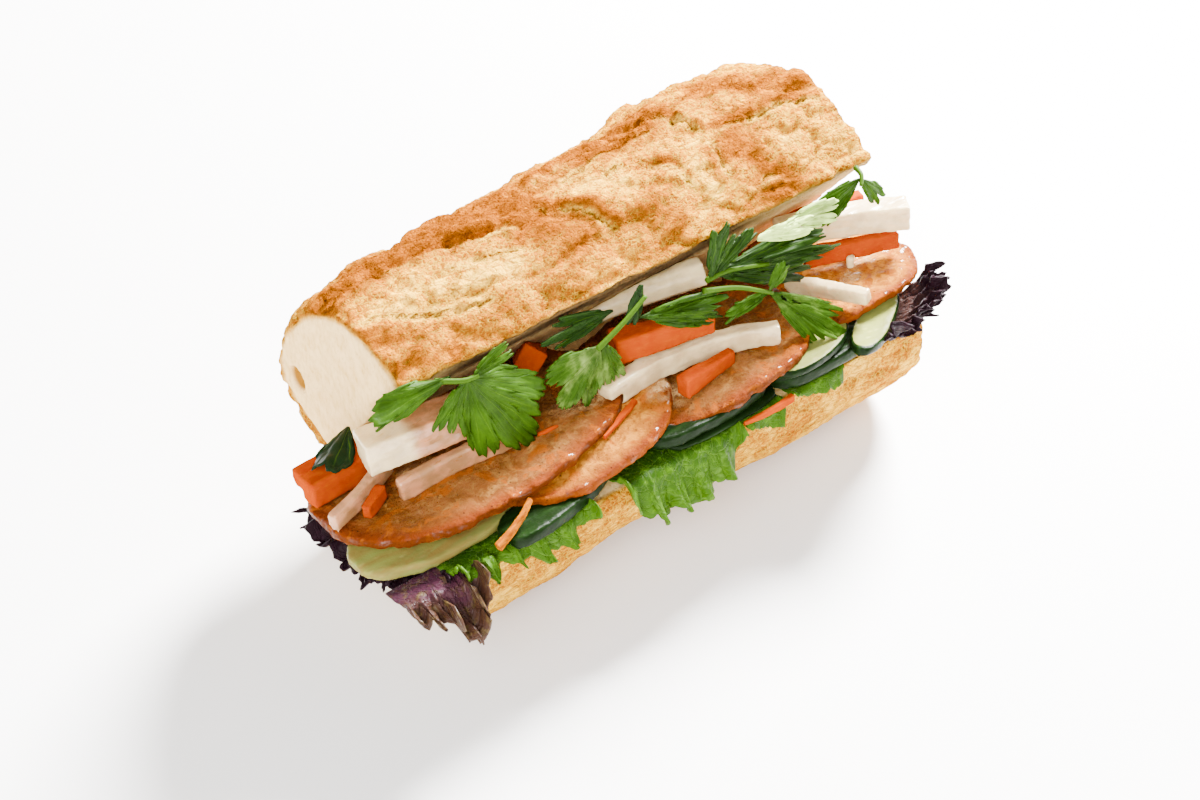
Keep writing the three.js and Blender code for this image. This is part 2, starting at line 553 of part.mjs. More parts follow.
// Cilantro sprigs. A sprig is one solid: its leaflets joined, with a stem where it shows.
const sprigs = [
  { name: 'cilantro_olive', finish: paleCilantro, leaflets: [
    { hub: [-75, 41, 2.8], heading: 187, length: 30, spread: 19, lobes: 2, teeth: 4, cup: 0.05 }] },
  { name: 'cilantro_dark', finish: cilantro, leaflets: [
    { on: lower, hub: [-94, 28, 25.6], heading: 143, length: 24, spread: 27, lobes: 2, teeth: 2,
      cup: 0.04 }] },
  { name: 'cilantro_fan', finish: cilantro, leaflets: [
    { hub: [-71.5, 39.8, 5], heading: -58, length: 41, spread: 46, lobes: 3, teeth: 4, notch: 0.2,
      falloff: 0.6 },
    { hub: [-72.5, 39.4, 5.3], heading: -124, length: 20, spread: 26, lobes: 2, teeth: 3, cup: 0.04 },
    { hub: [-70, 39.4, 5.8], heading: 16, length: 17, spread: 22, lobes: 2, teeth: 2, cup: 0.04 }],
    stem: [[-80, 41, 1], [-73, 39.6, 5], [-68, 39.4, 6]] },
  { name: 'cilantro_middle', finish: cilantro, leaflets: [
    { hub: [-24.5, 28.8, 6.2], heading: 221, length: 23, spread: 50, lobes: 3, teeth: 4, falloff: 0.2 },
    { hub: [-23.5, 29, 6.2], heading: -74, length: 21, spread: 26, lobes: 2, teeth: 3, cup: 0.05,
      tilt: -0.12 }],
    stem: [[-26, 28, 6.2], [-15, 32.5, 6], [-5, 37, 5]] },
  { name: 'cilantro_shaded', finish: cilantro, leaflets: [
    { hub: [-14, 34, 0.5], heading: 178, length: 30, spread: 18, lobes: 3, teeth: 2, cup: 0.04 }] },
  { name: 'cilantro_tip', finish: cilantro, leaflets: [
    { hub: [-4, 40, 2], heading: 246, length: 16, spread: 22, lobes: 2, teeth: 2, cup: 0.04 }] },
  { name: 'cilantro_across', finish: cilantro, leaflets: [
    { hub: [-9, 31.5, 5.8], heading: -17, length: 37, spread: 16, lobes: 2, teeth: 3, cup: 0.03,
      tilt: 0.1, falloff: 0.3 }] },
  { name: 'cilantro_crown', finish: cilantro, leaflets: [
    { hub: [18.5, 33.8, 7.3], heading: 62, length: 20, spread: 28, lobes: 3, teeth: 2, cup: 0.05 },
    { hub: [20.5, 33.7, 7.2], heading: 26, length: 23, spread: 15, lobes: 2, teeth: 3, cup: 0.04 },
    { hub: [20.5, 33.5, 7], heading: -14, length: 56, spread: 17, lobes: 3, teeth: 4, cup: 0.05,
      falloff: 0.3 }],
    stem: [[17, 33.6, 7.4], [27, 32.6, 6.8], [43, 28, 7.4]] },
  { name: 'cilantro_pale', finish: paleCilantro, leaflets: [
    { hub: [36, 41, 9.6], heading: -10, length: 27, spread: 15, lobes: 2, teeth: 3, cup: 0.03,
      tilt: 0.03 }] },
  { name: 'cilantro_light', finish: paleCilantro, leaflets: [
    { hub: [50, 41, 8.6], heading: -14, length: 27, spread: 20, lobes: 2, teeth: 3, cup: 0.03 }] },
  { name: 'cilantro_far', finish: cilantro, leaflets: [
    { hub: [84.2, 41.4, 6.4], heading: 204, length: 24, spread: 30, lobes: 3, teeth: 2, cup: 0.05 },
    { hub: [84.2, 41.4, 6.4], heading: -52, length: 18, spread: 20, lobes: 2, teeth: 2, cup: 0.05 }],
    stem: [[86, 43, 2], [85, 42, 5.6], [82.6, 40, 8]] },
  { name: 'cilantro_hanging', finish: paleCilantro, leaflets: [
    { hub: [38, 21.5, 11.9], heading: 186, length: 21, spread: 16, lobes: 2, teeth: 3, cup: 0.04 },
    { hub: [38, 21.5, 11.9], heading: -45, length: 34, spread: 20, lobes: 3, teeth: 3, cup: 0.05,
      tilt: 0.3, falloff: 0.25 },
    { hub: [38, 21.5, 11.9], heading: 40, length: 13, spread: 24, lobes: 2, teeth: 2, cup: 0.04 }],
    stem: [[13, 33, 10.6], [26, 28.5, 11.4], [39.5, 20.6, 12]] },
];

function toManifold(geometry) {
  const bare = geometry.clone();
  bare.deleteAttribute('normal');
  bare.deleteAttribute('uv');
  const merged = mergeVertices(bare, 1e-4);
  return new wasm.Manifold(new wasm.Mesh({
    numProp: 3,
    vertProperties: Float32Array.from(merged.attributes.position.array),
    triVerts: Uint32Array.from(merged.index.array),
  }));
}

function sprigSolid({ leaflets, stem }, grow) {
  let solid = null;
  for (const shape of leaflets) {
    const part = toManifold(leaflet(shape, grow));
    solid = solid ? solid.add(part) : part;
  }
  if (stem) {
    const round = { height: [STEM, STEM], depth: [STEM, STEM], sides: 5, steps: 4 };
    solid = solid.add(toManifold(bar({ through: stem, ...round }, grow)));
  }
  return solid;
}
for (const sprig of sprigs) {
  add(sprig.name, sprig.finish, (grow) => sprigSolid(sprig, grow));
}

// Shreds and small trimmings.
const shreds = [
  { name: 'carrot_shred_left', finish: carrot, on: lower,
    through: [[-67, 83, 14.6], [-74, 86, 11.4], [-84, 88.5, 8.6]],
    height: [1.6, 2.4], depth: [2.4, 3.2] },
  { name: 'carrot_shred_ham', finish: carrot, on: lower,
    through: [[-35, 76, 16.2], [-26, 73, 16.5], [-16, 69, 16.8]],
    height: [3, 2.4], depth: [1.8, 1.8] },
  { name: 'carrot_sliver', finish: carrot, on: lower,
    through: [[12, 86.4, 2.4], [22, 87.6, 2.2], [33, 87, 2.2]],
    height: [1.8, 2.4], depth: [2, 3] },
];
for (const { name, finish, ...shape } of shreds) {
  add(name, finish, (grow) => bar({ steps: 3, ...shape }, grow));
}

// ---------------------------------------------------------------- fitting and placing
function toThree(solid) {
  const { vertProperties, triVerts, numProp } = solid.getMesh();
  const geometry = new THREE.BufferGeometry();
  const positions = new Float32Array(vertProperties.length / numProp * 3);
  for (let i = 0; i < positions.length / 3; i += 1) {
    positions.set(vertProperties.subarray(i * numProp, i * numProp + 3), i * 3);
  }
  geometry.setAttribute('position', new THREE.BufferAttribute(positions, 3));
  geometry.setIndex(new THREE.BufferAttribute(Uint32Array.from(triVerts), 1));
  return geometry;
}

function largest(solid) {
  return solid.decompose().reduce((best, next) => (next.volume() > best.volume() ? next : best));
}

function asManifold(built) {
  return built instanceof THREE.BufferGeometry ? toManifold(built) : built;
}

// Each piece gives way to the ones before it in the list, with a small gap where they bear.
const sandwich = new THREE.Group();
const keptClear = [];
for (const { name, finish, build } of pieces) {
  let solid = asManifold(build(0));
  for (const earlier of keptClear) {
    if (solid.intersect(earlier).volume() > 0) solid = solid.subtract(earlier);
  }
  solid = largest(solid);
  keptClear.push(asManifold(build(GAP)), solid);
  const mesh = new THREE.Mesh(toThree(solid), new THREE.MeshStandardMaterial({ metalness: 0, ...finish }));
  mesh.name = name;
  sandwich.add(mesh);
}

// The origin is the middle of the outline's base.
const outline = new THREE.Box3().setFromObject(sandwich);
const middle = outline.getCenter(new THREE.Vector3());
sandwich.position.set(-middle.x, -middle.y, -outline.min.z);
sandwich.updateMatrixWorld(true);

export default sandwich;
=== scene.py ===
"""Looks of a banh mi: a crusty roll opened like a mouth and filled with leaves, cucumber, ham, batons
and cilantro. The sizes in the tables below are millimetres and degrees."""

import json
import math

import bmesh
import bpy
from mathutils import Matrix, Vector, kdtree, noise
from mathutils.bvhtree import BVHTree

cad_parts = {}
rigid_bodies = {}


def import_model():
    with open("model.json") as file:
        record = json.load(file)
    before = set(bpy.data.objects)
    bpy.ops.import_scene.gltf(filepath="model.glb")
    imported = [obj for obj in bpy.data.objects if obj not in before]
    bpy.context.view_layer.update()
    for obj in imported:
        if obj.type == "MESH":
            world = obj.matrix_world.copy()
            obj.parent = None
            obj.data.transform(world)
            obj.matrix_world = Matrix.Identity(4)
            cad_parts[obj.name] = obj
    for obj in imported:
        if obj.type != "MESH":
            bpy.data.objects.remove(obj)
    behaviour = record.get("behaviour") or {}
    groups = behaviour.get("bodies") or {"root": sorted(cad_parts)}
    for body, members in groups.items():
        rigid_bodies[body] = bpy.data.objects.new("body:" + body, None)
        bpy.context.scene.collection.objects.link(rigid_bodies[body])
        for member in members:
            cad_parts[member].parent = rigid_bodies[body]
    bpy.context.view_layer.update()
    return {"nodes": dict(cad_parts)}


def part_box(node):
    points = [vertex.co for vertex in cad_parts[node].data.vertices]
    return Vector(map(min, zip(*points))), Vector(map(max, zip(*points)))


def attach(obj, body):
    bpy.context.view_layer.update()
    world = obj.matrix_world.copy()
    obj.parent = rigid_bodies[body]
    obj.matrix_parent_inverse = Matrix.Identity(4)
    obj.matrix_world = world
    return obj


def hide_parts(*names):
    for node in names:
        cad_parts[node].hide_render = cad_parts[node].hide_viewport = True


bl_info = {
    "name": "Banh mi",
    "version": (1, 0, 0),
    "blender": (4, 5, 0),
    "location": "3D View > Sidebar > Banh mi",
    "description": "Builds the bread, the fillings and the stage of a banh mi around its fixed frame",
    "category": "Object",
}

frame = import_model()

MM = 0.001


def colour(code):
    """A hex colour as linear red, green and blue."""
    parts = [int(code[i:i + 2], 16) / 255 for i in (0, 2, 4)]
    return tuple(v / 12.92 if v <= 0.04045 else ((v + 0.055) / 1.055) ** 2.4 for v in parts)


# ---------------------------------------------------------------- working coordinates
HINGE_HEIGHT = 28.5
LOWER_ANGLE = math.radians(11.6)
UPPER_ANGLE = math.radians(53.3)
LOWER_CUT = 83.4
UPPER_CUT = 80.9
ROUNDNESS = 2.35
PILE_LEAN = math.radians(12.5)
PILE_FOOT = (-56.3, 51.2)
ROLL_LOW = (-95.5, -83.394)         # the roll's lowest x and y measured from its hinge line
UPPER_DEPTH = [(-92, 36.5), (-84, 41), (-66, 43.2), (-40, 44), (-10, 46.5), (20, 48), (46, 53), (74, 53.2),
               (95, 49.5)]


def hinge_offset():
    """Where the hinge line's origin stands in the frame, in millimetres."""
    low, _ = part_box("roll")
    return Vector((low.x / MM - ROLL_LOW[0], low.y / MM - ROLL_LOW[1], 0))


OFFSET = hinge_offset()


def section(x, y, z):
    return Vector((x, y, z)) + OFFSET


def lower(x, s, h):
    """s out from the hinge along the lower cut face, h above that face."""
    return section(
        x,
        -s * math.cos(LOWER_ANGLE) + h * math.sin(LOWER_ANGLE),
        HINGE_HEIGHT + s * math.sin(LOWER_ANGLE) + h * math.cos(LOWER_ANGLE),
    )


def pile(x, q, p):
    """q up the leaning front of the stacked batons, p out in front of it."""
    return section(
        x,
        PILE_FOOT[0] + q * math.sin(PILE_LEAN) - p * math.cos(PILE_LEAN),
        PILE_FOOT[1] + q * math.cos(PILE_LEAN) + p * math.sin(PILE_LEAN),
    )


def smooth(low, high, value):
    share = min(1, max(0, (value - low) / (high - low)))
    return share * share * (3 - 2 * share)


def along(pairs, position):
    """A value read off a short list of (position, value) pairs, eased between them."""
    if position <= pairs[0][0]:
        return pairs[0][1]
    for (start, before), (end, after) in zip(pairs, pairs[1:]):
        if position <= end:
            return before + (after - before) * smooth(start, end, position)
    return pairs[-1][1]


def mix(a, b, share):
    return a + (b - a) * share


def rough(point, size, octaves=4, seed=0.0):
    """Even-handed noise, about -1 to 1, with features of the given size."""
    place = Vector(point) / size + Vector((seed, seed * 0.37, -seed * 0.71))
    return noise.fractal(place, 0.9, 2.1, octaves)


def ridged(point, size, octaves=4, seed=0.0):
    """Noise from 0 to about 1 with sharp crests."""
    place = Vector(point) / size + Vector((seed, -seed * 0.53, seed * 0.29))
    return noise.ridged_multi_fractal(place, 0.9, 2.1, octaves, 1.0, 2.0) / 2.4


# ---------------------------------------------------------------- tables
HAMS = [
    dict(centre=(-65, 47), half_length=52.5, half_width=33, lift=[(-100, 11.2), (-70, 13.8), (-30, 16.2)],
         droop=2.2, wave=0.9),
    dict(centre=(-38, 52), half_length=39, half_width=34, lift=[(-50, 9.4), (-20, 12.4)], droop=3.6, wave=0.5, tone=0.8),
    dict(centre=(19, 52), half_length=42, half_width=34, lift=[(-6, 8.4), (24, 12.4)], droop=3.0, wave=0.6),
    dict(centre=(80.5, 48), half_length=29, half_width=31, lift=[(60, 8.4), (80, 11.4)], droop=0.8, wave=0.6,
         roundness=2.9, tone=1.0),
]
CUCUMBERS = {
    "cucumber_flesh_left": dict(centre=(-89, 63.5), half_length=29, half_width=15, lift=[(-110, 6.0), (-70, 6.4)],
                                slope=-0.05, thickness=3.2, flesh=1.0, peel=0.25, tone=1.0),
    "cucumber_long_left": dict(centre=(-57, 79.5), half_length=22, half_width=8, turn=-14,
                               lift=[(-70, 6.0), (-44, 5.2)], thickness=4.4, roundness=3.2, flesh=0.0),
    "cucumber_long_middle": dict(centre=(4, 72), half_length=25, half_width=13, lift=[(-20, 7.1), (26, 7.1)],
                                 thickness=4.4, roundness=3.4, flesh=0.0),
    "cucumber_low_middle": dict(centre=(8, 78), half_length=22, half_width=8, lift=[(0, 3.5), (30, 3.5)],
                                thickness=1.8, roundness=3.4, flesh=0.0),
    "cucumber_right": dict(centre=(52, 73), half_length=22, half_width=13, lift=[(30, 4.9), (66, 4.9)],
                           thickness=4.6, roundness=3.2, flesh=0.0),
    "cucumber_flesh_right": dict(centre=(48, 73), half_length=20, half_width=13, turn=-14,
                                 lift=[(30, 9.2), (62, 9.2)], thickness=3.0, flesh=1.0),
    "cucumber_flesh_far": dict(centre=(76, 80), half_length=21, half_width=6, turn=-33,
                               lift=[(56, 9.4), (76, 7.4)], thickness=3.4, flesh=1.0),
}
DAIKON = ["daikon_long", "daikon_round", "daikon_strip_far", "daikon_far", "daikon_block", "daikon_strip_left",
          "daikon_slab_left", "daikon_bit_far"]
CARROT = ["carrot_chunk", "carrot_middle", "carrot_upper_left", "carrot_far", "carrot_far_upper", "carrot_end",
          "carrot_end_inner", "carrot_bit_left", "carrot_shred_left", "carrot_shred_ham", "carrot_sliver"]
SOAKED = {"daikon_strip_left": 0.9, "daikon_slab_left": 1.0, "daikon_long": 0.25, "daikon_round": 0.1,
          "carrot_shred_left": 1.0}
LETTUCES = {
    "lettuce_left": dict(inner=74, lift=2.2, ruffle=2.6, waves=5.5,
                         rim=[(-98, 1), (-92, 3), (-86, 6), (-81, 3.5), (-75, 6), (-67, 9), (-60, 9), (-52, 6), (-46, 1)]),
    "lettuce_middle": dict(inner=74, lift=1.5, ruffle=2.4, waves=5, phase=1,
                           rim=[(-36, 2), (-30, 14), (-22, 17), (-13, 18), (-4, 16), (5, 15), (11, 4)]),
    "lettuce_bit_middle": dict(inner=76, lift=1.5, ruffle=0.9, waves=1.5, rim=[(12, 2), (20, 7), (27, 9), (30, 2)]),
    "lettuce_bit_right": dict(inner=76, lift=1.5, ruffle=0.7, waves=1.5, phase=2,
                              rim=[(34, 2), (44, 5), (54, 7), (57, 2)]),
}
BRONZE = dict(inner=74, lift=1.0, ruffle=2.2, waves=5.5, lean=60, cut=12, crumple=2.2, curl=4.5,
              rim=[(-115, 5), (-110, 9), (-106, 10), (-102, 17), (-98, 20), (-94, 13), (-89, 2)])
RED_LEAVES = {
    "red_leaf_left": dict(centre=(-83, 42), reach=(32, 42), start=204, end=106, lift=0.9, squareness=0.75,
                          sink=[(0, 2), (0.5, 4), (1, 3)], ruffle=2.6, waves=9, inner=0.45, crumple=1.6),
    "red_leaf_right": dict(centre=(72, 56), reach=(40, 37), start=92, end=22, lift=1.2, squareness=0.8,
                           sink=[(0, -8), (0.5, -10), (1, -9)], ruffle=3.0, waves=4.5, inner=0.62, crumple=2.6),
}
# A negative pale gives painted shade: those sprigs lie in the mouth under the upper crust and are painted darker.
SPRIGS = {
    "cilantro_olive": dict(pale=0.35, leaflets=[
        dict(hub=(-75, 41, 2.8), heading=187, length=30, spread=19, lobes=2, teeth=3, notch=0.1, tooth=0.05,
             cup=0.12, pleat=0.03)]),
    "cilantro_dark": dict(pale=-1.2, leaflets=[
        dict(on=lower, hub=(-94, 28, 25.6), heading=143, length=24, spread=27, lobes=2, teeth=2, notch=0.08,
             tooth=0.04, cup=0.1, pleat=0.02)]),
    "cilantro_fan": dict(pale=0.5, leaflets=[
        dict(hub=(-71.5, 39.8, 5), heading=-58, length=41, spread=46, lobes=3, teeth=4, notch=0.3, tooth=0.1,
             falloff=0.55, pleat=0.05),
        dict(hub=(-72.5, 39.4, 5.3), heading=-124, length=20, spread=26, lobes=2, teeth=3, cup=0.04),
        dict(hub=(-70, 39.4, 5.8), heading=16, length=17, spread=22, lobes=2, teeth=3, cup=0.04)],
        stem=[(-80, 41, 1), (-73, 39.6, 5), (-68, 39.4, 6)]),
    "cilantro_middle": dict(pale=0.65, leaflets=[
        dict(hub=(-24.5, 28.8, 6.2), heading=221, length=23, spread=50, lobes=3, teeth=5, notch=0.3, tooth=0.1,
             falloff=0.2),
        dict(hub=(-23.5, 29, 6.2), heading=-74, length=21, spread=26, lobes=2, teeth=4, cup=0.05, tilt=-0.12)],
        stem=[(-26, 28, 6.2), (-15, 32.5, 6), (-5, 37, 5)]),
    "cilantro_shaded": dict(pale=-0.6, leaflets=[
        dict(hub=(-14, 34, 0.5), heading=178, length=30, spread=18, lobes=3, teeth=2, cup=0.04)]),
    "cilantro_tip": dict(pale=-0.8, leaflets=[
        dict(hub=(-4, 40, 2), heading=246, length=16, spread=22, lobes=2, teeth=2, cup=0.04)]),
    "cilantro_across": dict(pale=-0.2, leaflets=[
        dict(hub=(-9, 31.5, 5.8), heading=-17, length=37, spread=16, lobes=2, teeth=4, cup=0.03, tilt=0.1,
             falloff=0.3)]),
    "cilantro_crown": dict(pale=-0.5, leaflets=[
        dict(hub=(18.5, 33.8, 7.3), heading=62, length=20, spread=28, lobes=3, teeth=2, cup=0.05),
        dict(hub=(20.5, 33.7, 7.2), heading=26, length=23, spread=15, lobes=2, teeth=3, cup=0.04),
        dict(hub=(20.5, 33.5, 7), heading=-14, length=56, spread=17, lobes=3, teeth=4, cup=0.05, falloff=0.3)],
        stem=[(17, 33.6, 7.4), (27, 32.6, 6.8), (43, 28, 7.4)]),
    "cilantro_pale": dict(pale=1.0, leaflets=[
        dict(hub=(36, 41, 9.6), heading=-10, length=27, spread=15, lobes=2, teeth=3, cup=0.03, tilt=0.03)]),
    "cilantro_light": dict(pale=0.9, leaflets=[
        dict(hub=(50, 41, 8.6), heading=-14, length=27, spread=20, lobes=2, teeth=3, cup=0.03)]),
    "cilantro_far": dict(pale=0.5, leaflets=[
        dict(hub=(84.2, 41.4, 6.4), heading=204, length=24, spread=30, lobes=3, teeth=3, cup=0.05),
        dict(hub=(84.2, 41.4, 6.4), heading=-52, length=18, spread=20, lobes=2, teeth=2, cup=0.05)],
        stem=[(86, 43, 2), (85, 42, 5.6), (82.6, 40, 8)]),
    "cilantro_hanging": dict(pale=0.6, leaflets=[
        dict(hub=(38, 21.5, 11.9), heading=186, length=21, spread=16, lobes=2, teeth=3, cup=0.04),
        dict(hub=(38, 21.5, 11.9), heading=-45, length=34, spread=20, lobes=3, teeth=3, cup=0.05, tilt=0.3,
             falloff=0.25),
        dict(hub=(38, 21.5, 11.9), heading=40, length=13, spread=24, lobes=2, teeth=2, cup=0.04)],
        stem=[(13, 33, 10.6), (26, 28.5, 11.4), (39.5, 20.6, 12)]),
}

# Cracks in the crust: points as (x, degrees round the crust from the front edge), the depth and width of
# the groove, and the height of the baked lip that stands over it on the side away from the front edge.
CRACKS = [
    dict(path=[(-93, 58), (-81, 53), (-64, 51), (-54, 48), (-44, 45), (-34, 41), (-27, 34)], depth=1.2, width=2.6,
         lip=2.6),
    dict(path=[(-93, 40), (-88, 34), (-73, 22), (-59, 16), (-48, 13)], depth=0.7, width=2.2, lip=-0.9),
    dict(path=[(-60, 37), (-48, 33), (-38, 30), (-30, 24)], depth=0.6, width=1.4, lip=1.1),
    dict(path=[(-16, 58), (-4, 62), (14, 64), (28, 62), (38, 53), (43, 42), (46, 32)], depth=1.6, width=1.4,
         lip=2.2),
    dict(path=[(-10, 49), (8, 55), (24, 56), (36, 48)], depth=1.0, width=1.0, lip=1.0),
    dict(path=[(-24, 44), (-14, 36), (-6, 26), (-2, 14)], depth=0.9, width=1.8, lip=1.3),
    dict(path=[(46, 32), (55, 33), (65, 31), (75, 31), (84, 28), (93, 27)], depth=1.5, width=0.9, lip=0.8),
    dict(path=[(46, 31), (43, 19), (42, 10)], depth=1.3, width=1.6, lip=0.4),
    dict(path=[(3, 40), (12, 44), (18, 50)], depth=0.8, width=1.2, lip=0.8),
    dict(path=[(20, 36), (28, 26), (31, 14)], depth=0.8, width=1.5, lip=0.7),
    dict(path=[(48, 5), (56, 8), (66, 4)], depth=0.6, width=0.8, lip=0.4),
]
# Darker and paler places on the crust: from and to as (x, degrees), reach in millimetres, strength.
BAKES = [
    ((-90, 66), (-28, 60), 12, 0.42), ((-90, 60), (-40, 50), 6, 0.3), ((-28, 60), (24, 70), 10, 0.3), ((-24, 40), (-17, 38), 9, 0.28), ((-88, 24), (-50, 10), 8, 0.26),
    ((-70, 34), (-42, 26), 11, -0.6), ((-4, 46), (8, 40), 9, -0.5), ((6, 70), (38, 64), 6, 0.5),
    ((50, 24), (56, 17), 9, 0.26), ((40, 32), (32, 18), 8, -0.5), ((58, 60), (84, 38), 8, 0.25),
    ((54, 2), (62, 2), 5, 0.3), ((84, 26), (90, 4), 6, -0.25), ((-88, 6), (-70, 3), 4, 0.25),
    ((-30, 12), (10, 14), 12, 0.05), ((70, 14), (82, 10), 9, -0.2), ((-30, 24), (-14, 20), 8, 0.15),
]


# ---------------------------------------------------------------- mesh helpers
def resurface(bm, voxel):
    """The same solid with an even skin of small faces; voxel is their size."""
    mesh = bpy.data.meshes.new("work")
    bm.to_mesh(mesh)
    bm.free()
    work = bpy.data.objects.new("work", mesh)
    bpy.context.scene.collection.objects.link(work)
    skin = work.modifiers.new("Skin", "REMESH")
    skin.mode = "VOXEL"
    skin.voxel_size = voxel
    bpy.context.view_layer.update()
    even = bpy.data.meshes.new_from_object(work.evaluated_get(bpy.context.evaluated_depsgraph_get()))
    result = bmesh.new()
    result.from_mesh(even)
    bpy.data.objects.remove(work)
    bpy.data.meshes.remove(mesh)
    bpy.data.meshes.remove(even)
    return result


def cad_copy(node):
    """A welded copy of a frame node, in millimetres."""
    bm = bmesh.new()
    bm.from_mesh(frame["nodes"][node].data)
    bmesh.ops.scale(bm, vec=(1 / MM, 1 / MM, 1 / MM), verts=bm.verts)
    bmesh.ops.remove_doubles(bm, verts=bm.verts, dist=0.002)
    return bm


def relax(bm, times, factor=0.5):
    for _ in range(times):
        bmesh.ops.smooth_vert(bm, verts=bm.verts, factor=factor, use_axis_x=True, use_axis_y=True, use_axis_z=True)


def displace(bm, amount):
    """Moves each vertex along its normal by amount(place, normal) millimetres."""
    bm.normal_update()
    moves = [(vert, vert.normal * amount(vert.co, vert.normal)) for vert in bm.verts]
    for vert, move in moves:
        vert.co += move


def mark(bm, name, value):
    """Stores value(place, normal) for each vertex under a name that a material can read."""
    layer = bm.verts.layers.float.get(name) or bm.verts.layers.float.new(name)
    bm.normal_update()
    for vert in bm.verts:
        vert[layer] = value(vert.co, vert.normal)


def shown(bm, name, finish, replaces):
    """Makes the mesh, given in millimetres, an object that stands for the frame nodes it replaces."""
    bmesh.ops.remove_doubles(bm, verts=bm.verts, dist=0.0005)
    bmesh.ops.recalc_face_normals(bm, faces=bm.faces)
    bmesh.ops.scale(bm, vec=(MM, MM, MM), verts=bm.verts)
    for face in bm.faces:
        face.smooth = True
    mesh = bpy.data.meshes.new(name)
    bm.to_mesh(mesh)
    bm.free()
    mesh.materials.append(finish)
    piece = bpy.data.objects.new(name, mesh)
    bpy.context.scene.collection.objects.link(piece)
    if replaces:
        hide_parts(*replaces)
    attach(piece, "root")
    return piece


def sheet(bm, columns, rows, place, marks=()):
    """Adds a sheet of columns by rows faces whose points are place(u, v), u and v from 0 to 1. Each of
    marks is a (name, value) pair, and value(u, v) is stored on the points."""
    layers = [(bm.verts.layers.float.get(name) or bm.verts.layers.float.new(name), value) for name, value in marks]
    made = bmesh.ops.create_grid(bm, x_segments=columns, y_segments=rows, size=0.5)["verts"]
    for vert in made:
        u, v = vert.co.x + 0.5, vert.co.y + 0.5
        for layer, value in layers:
            vert[layer] = value(u, v)
        vert.co = place(u, v)
    return made


def thicken(bm, verts, thickness):
    """Gives a sheet its thickness along the vertex normals and closes its rim."""
    faces = list({face for vert in verts for face in vert.link_faces})
    bmesh.ops.recalc_face_normals(bm, faces=faces)
    raised = bmesh.ops.extrude_face_region(bm, geom=faces)["geom"]
    bm.normal_update()
    caps = {part for part in raised if isinstance(part, bmesh.types.BMFace)}
    moves = []
    for vert in raised:
        if isinstance(vert, bmesh.types.BMVert):
            normal = sum((face.normal * face.calc_area() for face in vert.link_faces if face in caps), Vector())
            moves.append((vert, normal.normalized() * thickness))
    for vert, move in moves:
        vert.co += move


def curve_points(points, count):
    """Points evenly spread in step over a smooth curve through the given points."""
    knots = [points[0] * 2 - points[1], *points, points[-1] * 2 - points[-2]]
    result = []
    for i in range(count + 1):
        place = i / count * (len(points) - 1)
        k = min(int(place), len(points) - 2)
        t = place - k
        a, b, c, d = knots[k:k + 4]
        result.append(0.5 * (2 * b + (c - a) * t + (2 * a - 5 * b + 4 * c - d) * t * t
                             + (3 * b - a - 3 * c + d) * t ** 3))
    return result


def tube(bm, route, radius, sides=10):
    """A closed round stem along route; radius(share) is its radius from start to end."""
    count = len(route) - 1

    def place(u, v):
        i = min(round(u * count), count)
        ahead = (route[min(i + 1, count)] - route[max(i - 1, 0)]).normalized()
        side = ahead.cross(Vector((0, 0, 1))).normalized()
        top = side.cross(ahead)
        turn = v * 2 * math.pi
        return route[i] + (side * math.cos(turn) + top * math.sin(turn)) * radius(u)

    made = sheet(bm, count, sides, place)
    bmesh.ops.remove_doubles(bm, verts=made, dist=0.001)
    ends = [edge for edge in bm.edges if edge.is_boundary]
    bmesh.ops.holes_fill(bm, edges=ends, sides=0)


# ---------------------------------------------------------------- shader helpers
def fitted(value, socket):
    """A colour as the four numbers that its socket takes, anything else as it is."""
    return (*value, 1) if socket.type == "RGBA" and len(value) == 3 else value


class Signal:
    """An output of a shader node that takes part in sums the way a number does."""

    def __init__(self, tree, socket=None):
        self.tree = tree
        self.socket = socket

    def node(self, kind, inputs=None, output=0, **settings):
        """Adds a node: settings first, then its inputs by name or place; gives back one output."""
        made = self.tree.nodes.new(kind)
        for name, value in settings.items():
            setattr(made, name, value)
        for key, value in (inputs or {}).items():
            if isinstance(value, Signal):
                self.tree.links.new(value.socket, made.inputs[key])
            else:
                made.inputs[key].default_value = fitted(value, made.inputs[key])
        return Signal(self.tree, made.outputs[output])

    def math(self, operation, *values):
        return self.node("ShaderNodeMath", dict(enumerate(values)), operation=operation)

    def __add__(self, other):
        return self.math("ADD", self, other)

    def __radd__(self, other):
        return self.math("ADD", other, self)

    def __sub__(self, other):
        return self.math("SUBTRACT", self, other)

    def __rsub__(self, other):
        return self.math("SUBTRACT", other, self)

    def __mul__(self, other):
        return self.math("MULTIPLY", self, other)

    def __rmul__(self, other):
        return self.math("MULTIPLY", other, self)

    def __pow__(self, other):
        return self.math("POWER", self, other)

    def step(self, low, high):
        """0 where this is below low, 1 where it is above high, eased between."""
        return self.node("ShaderNodeMapRange", {"Value": self, "From Min": low, "From Max": high},
                         interpolation_type="SMOOTHSTEP")

    def blend(self, a, b):
        """Colour a where this is 0 and colour b where it is 1."""
        return self.node("ShaderNodeMix", {0: self, 6: a, 7: b}, output=2, data_type="RGBA")


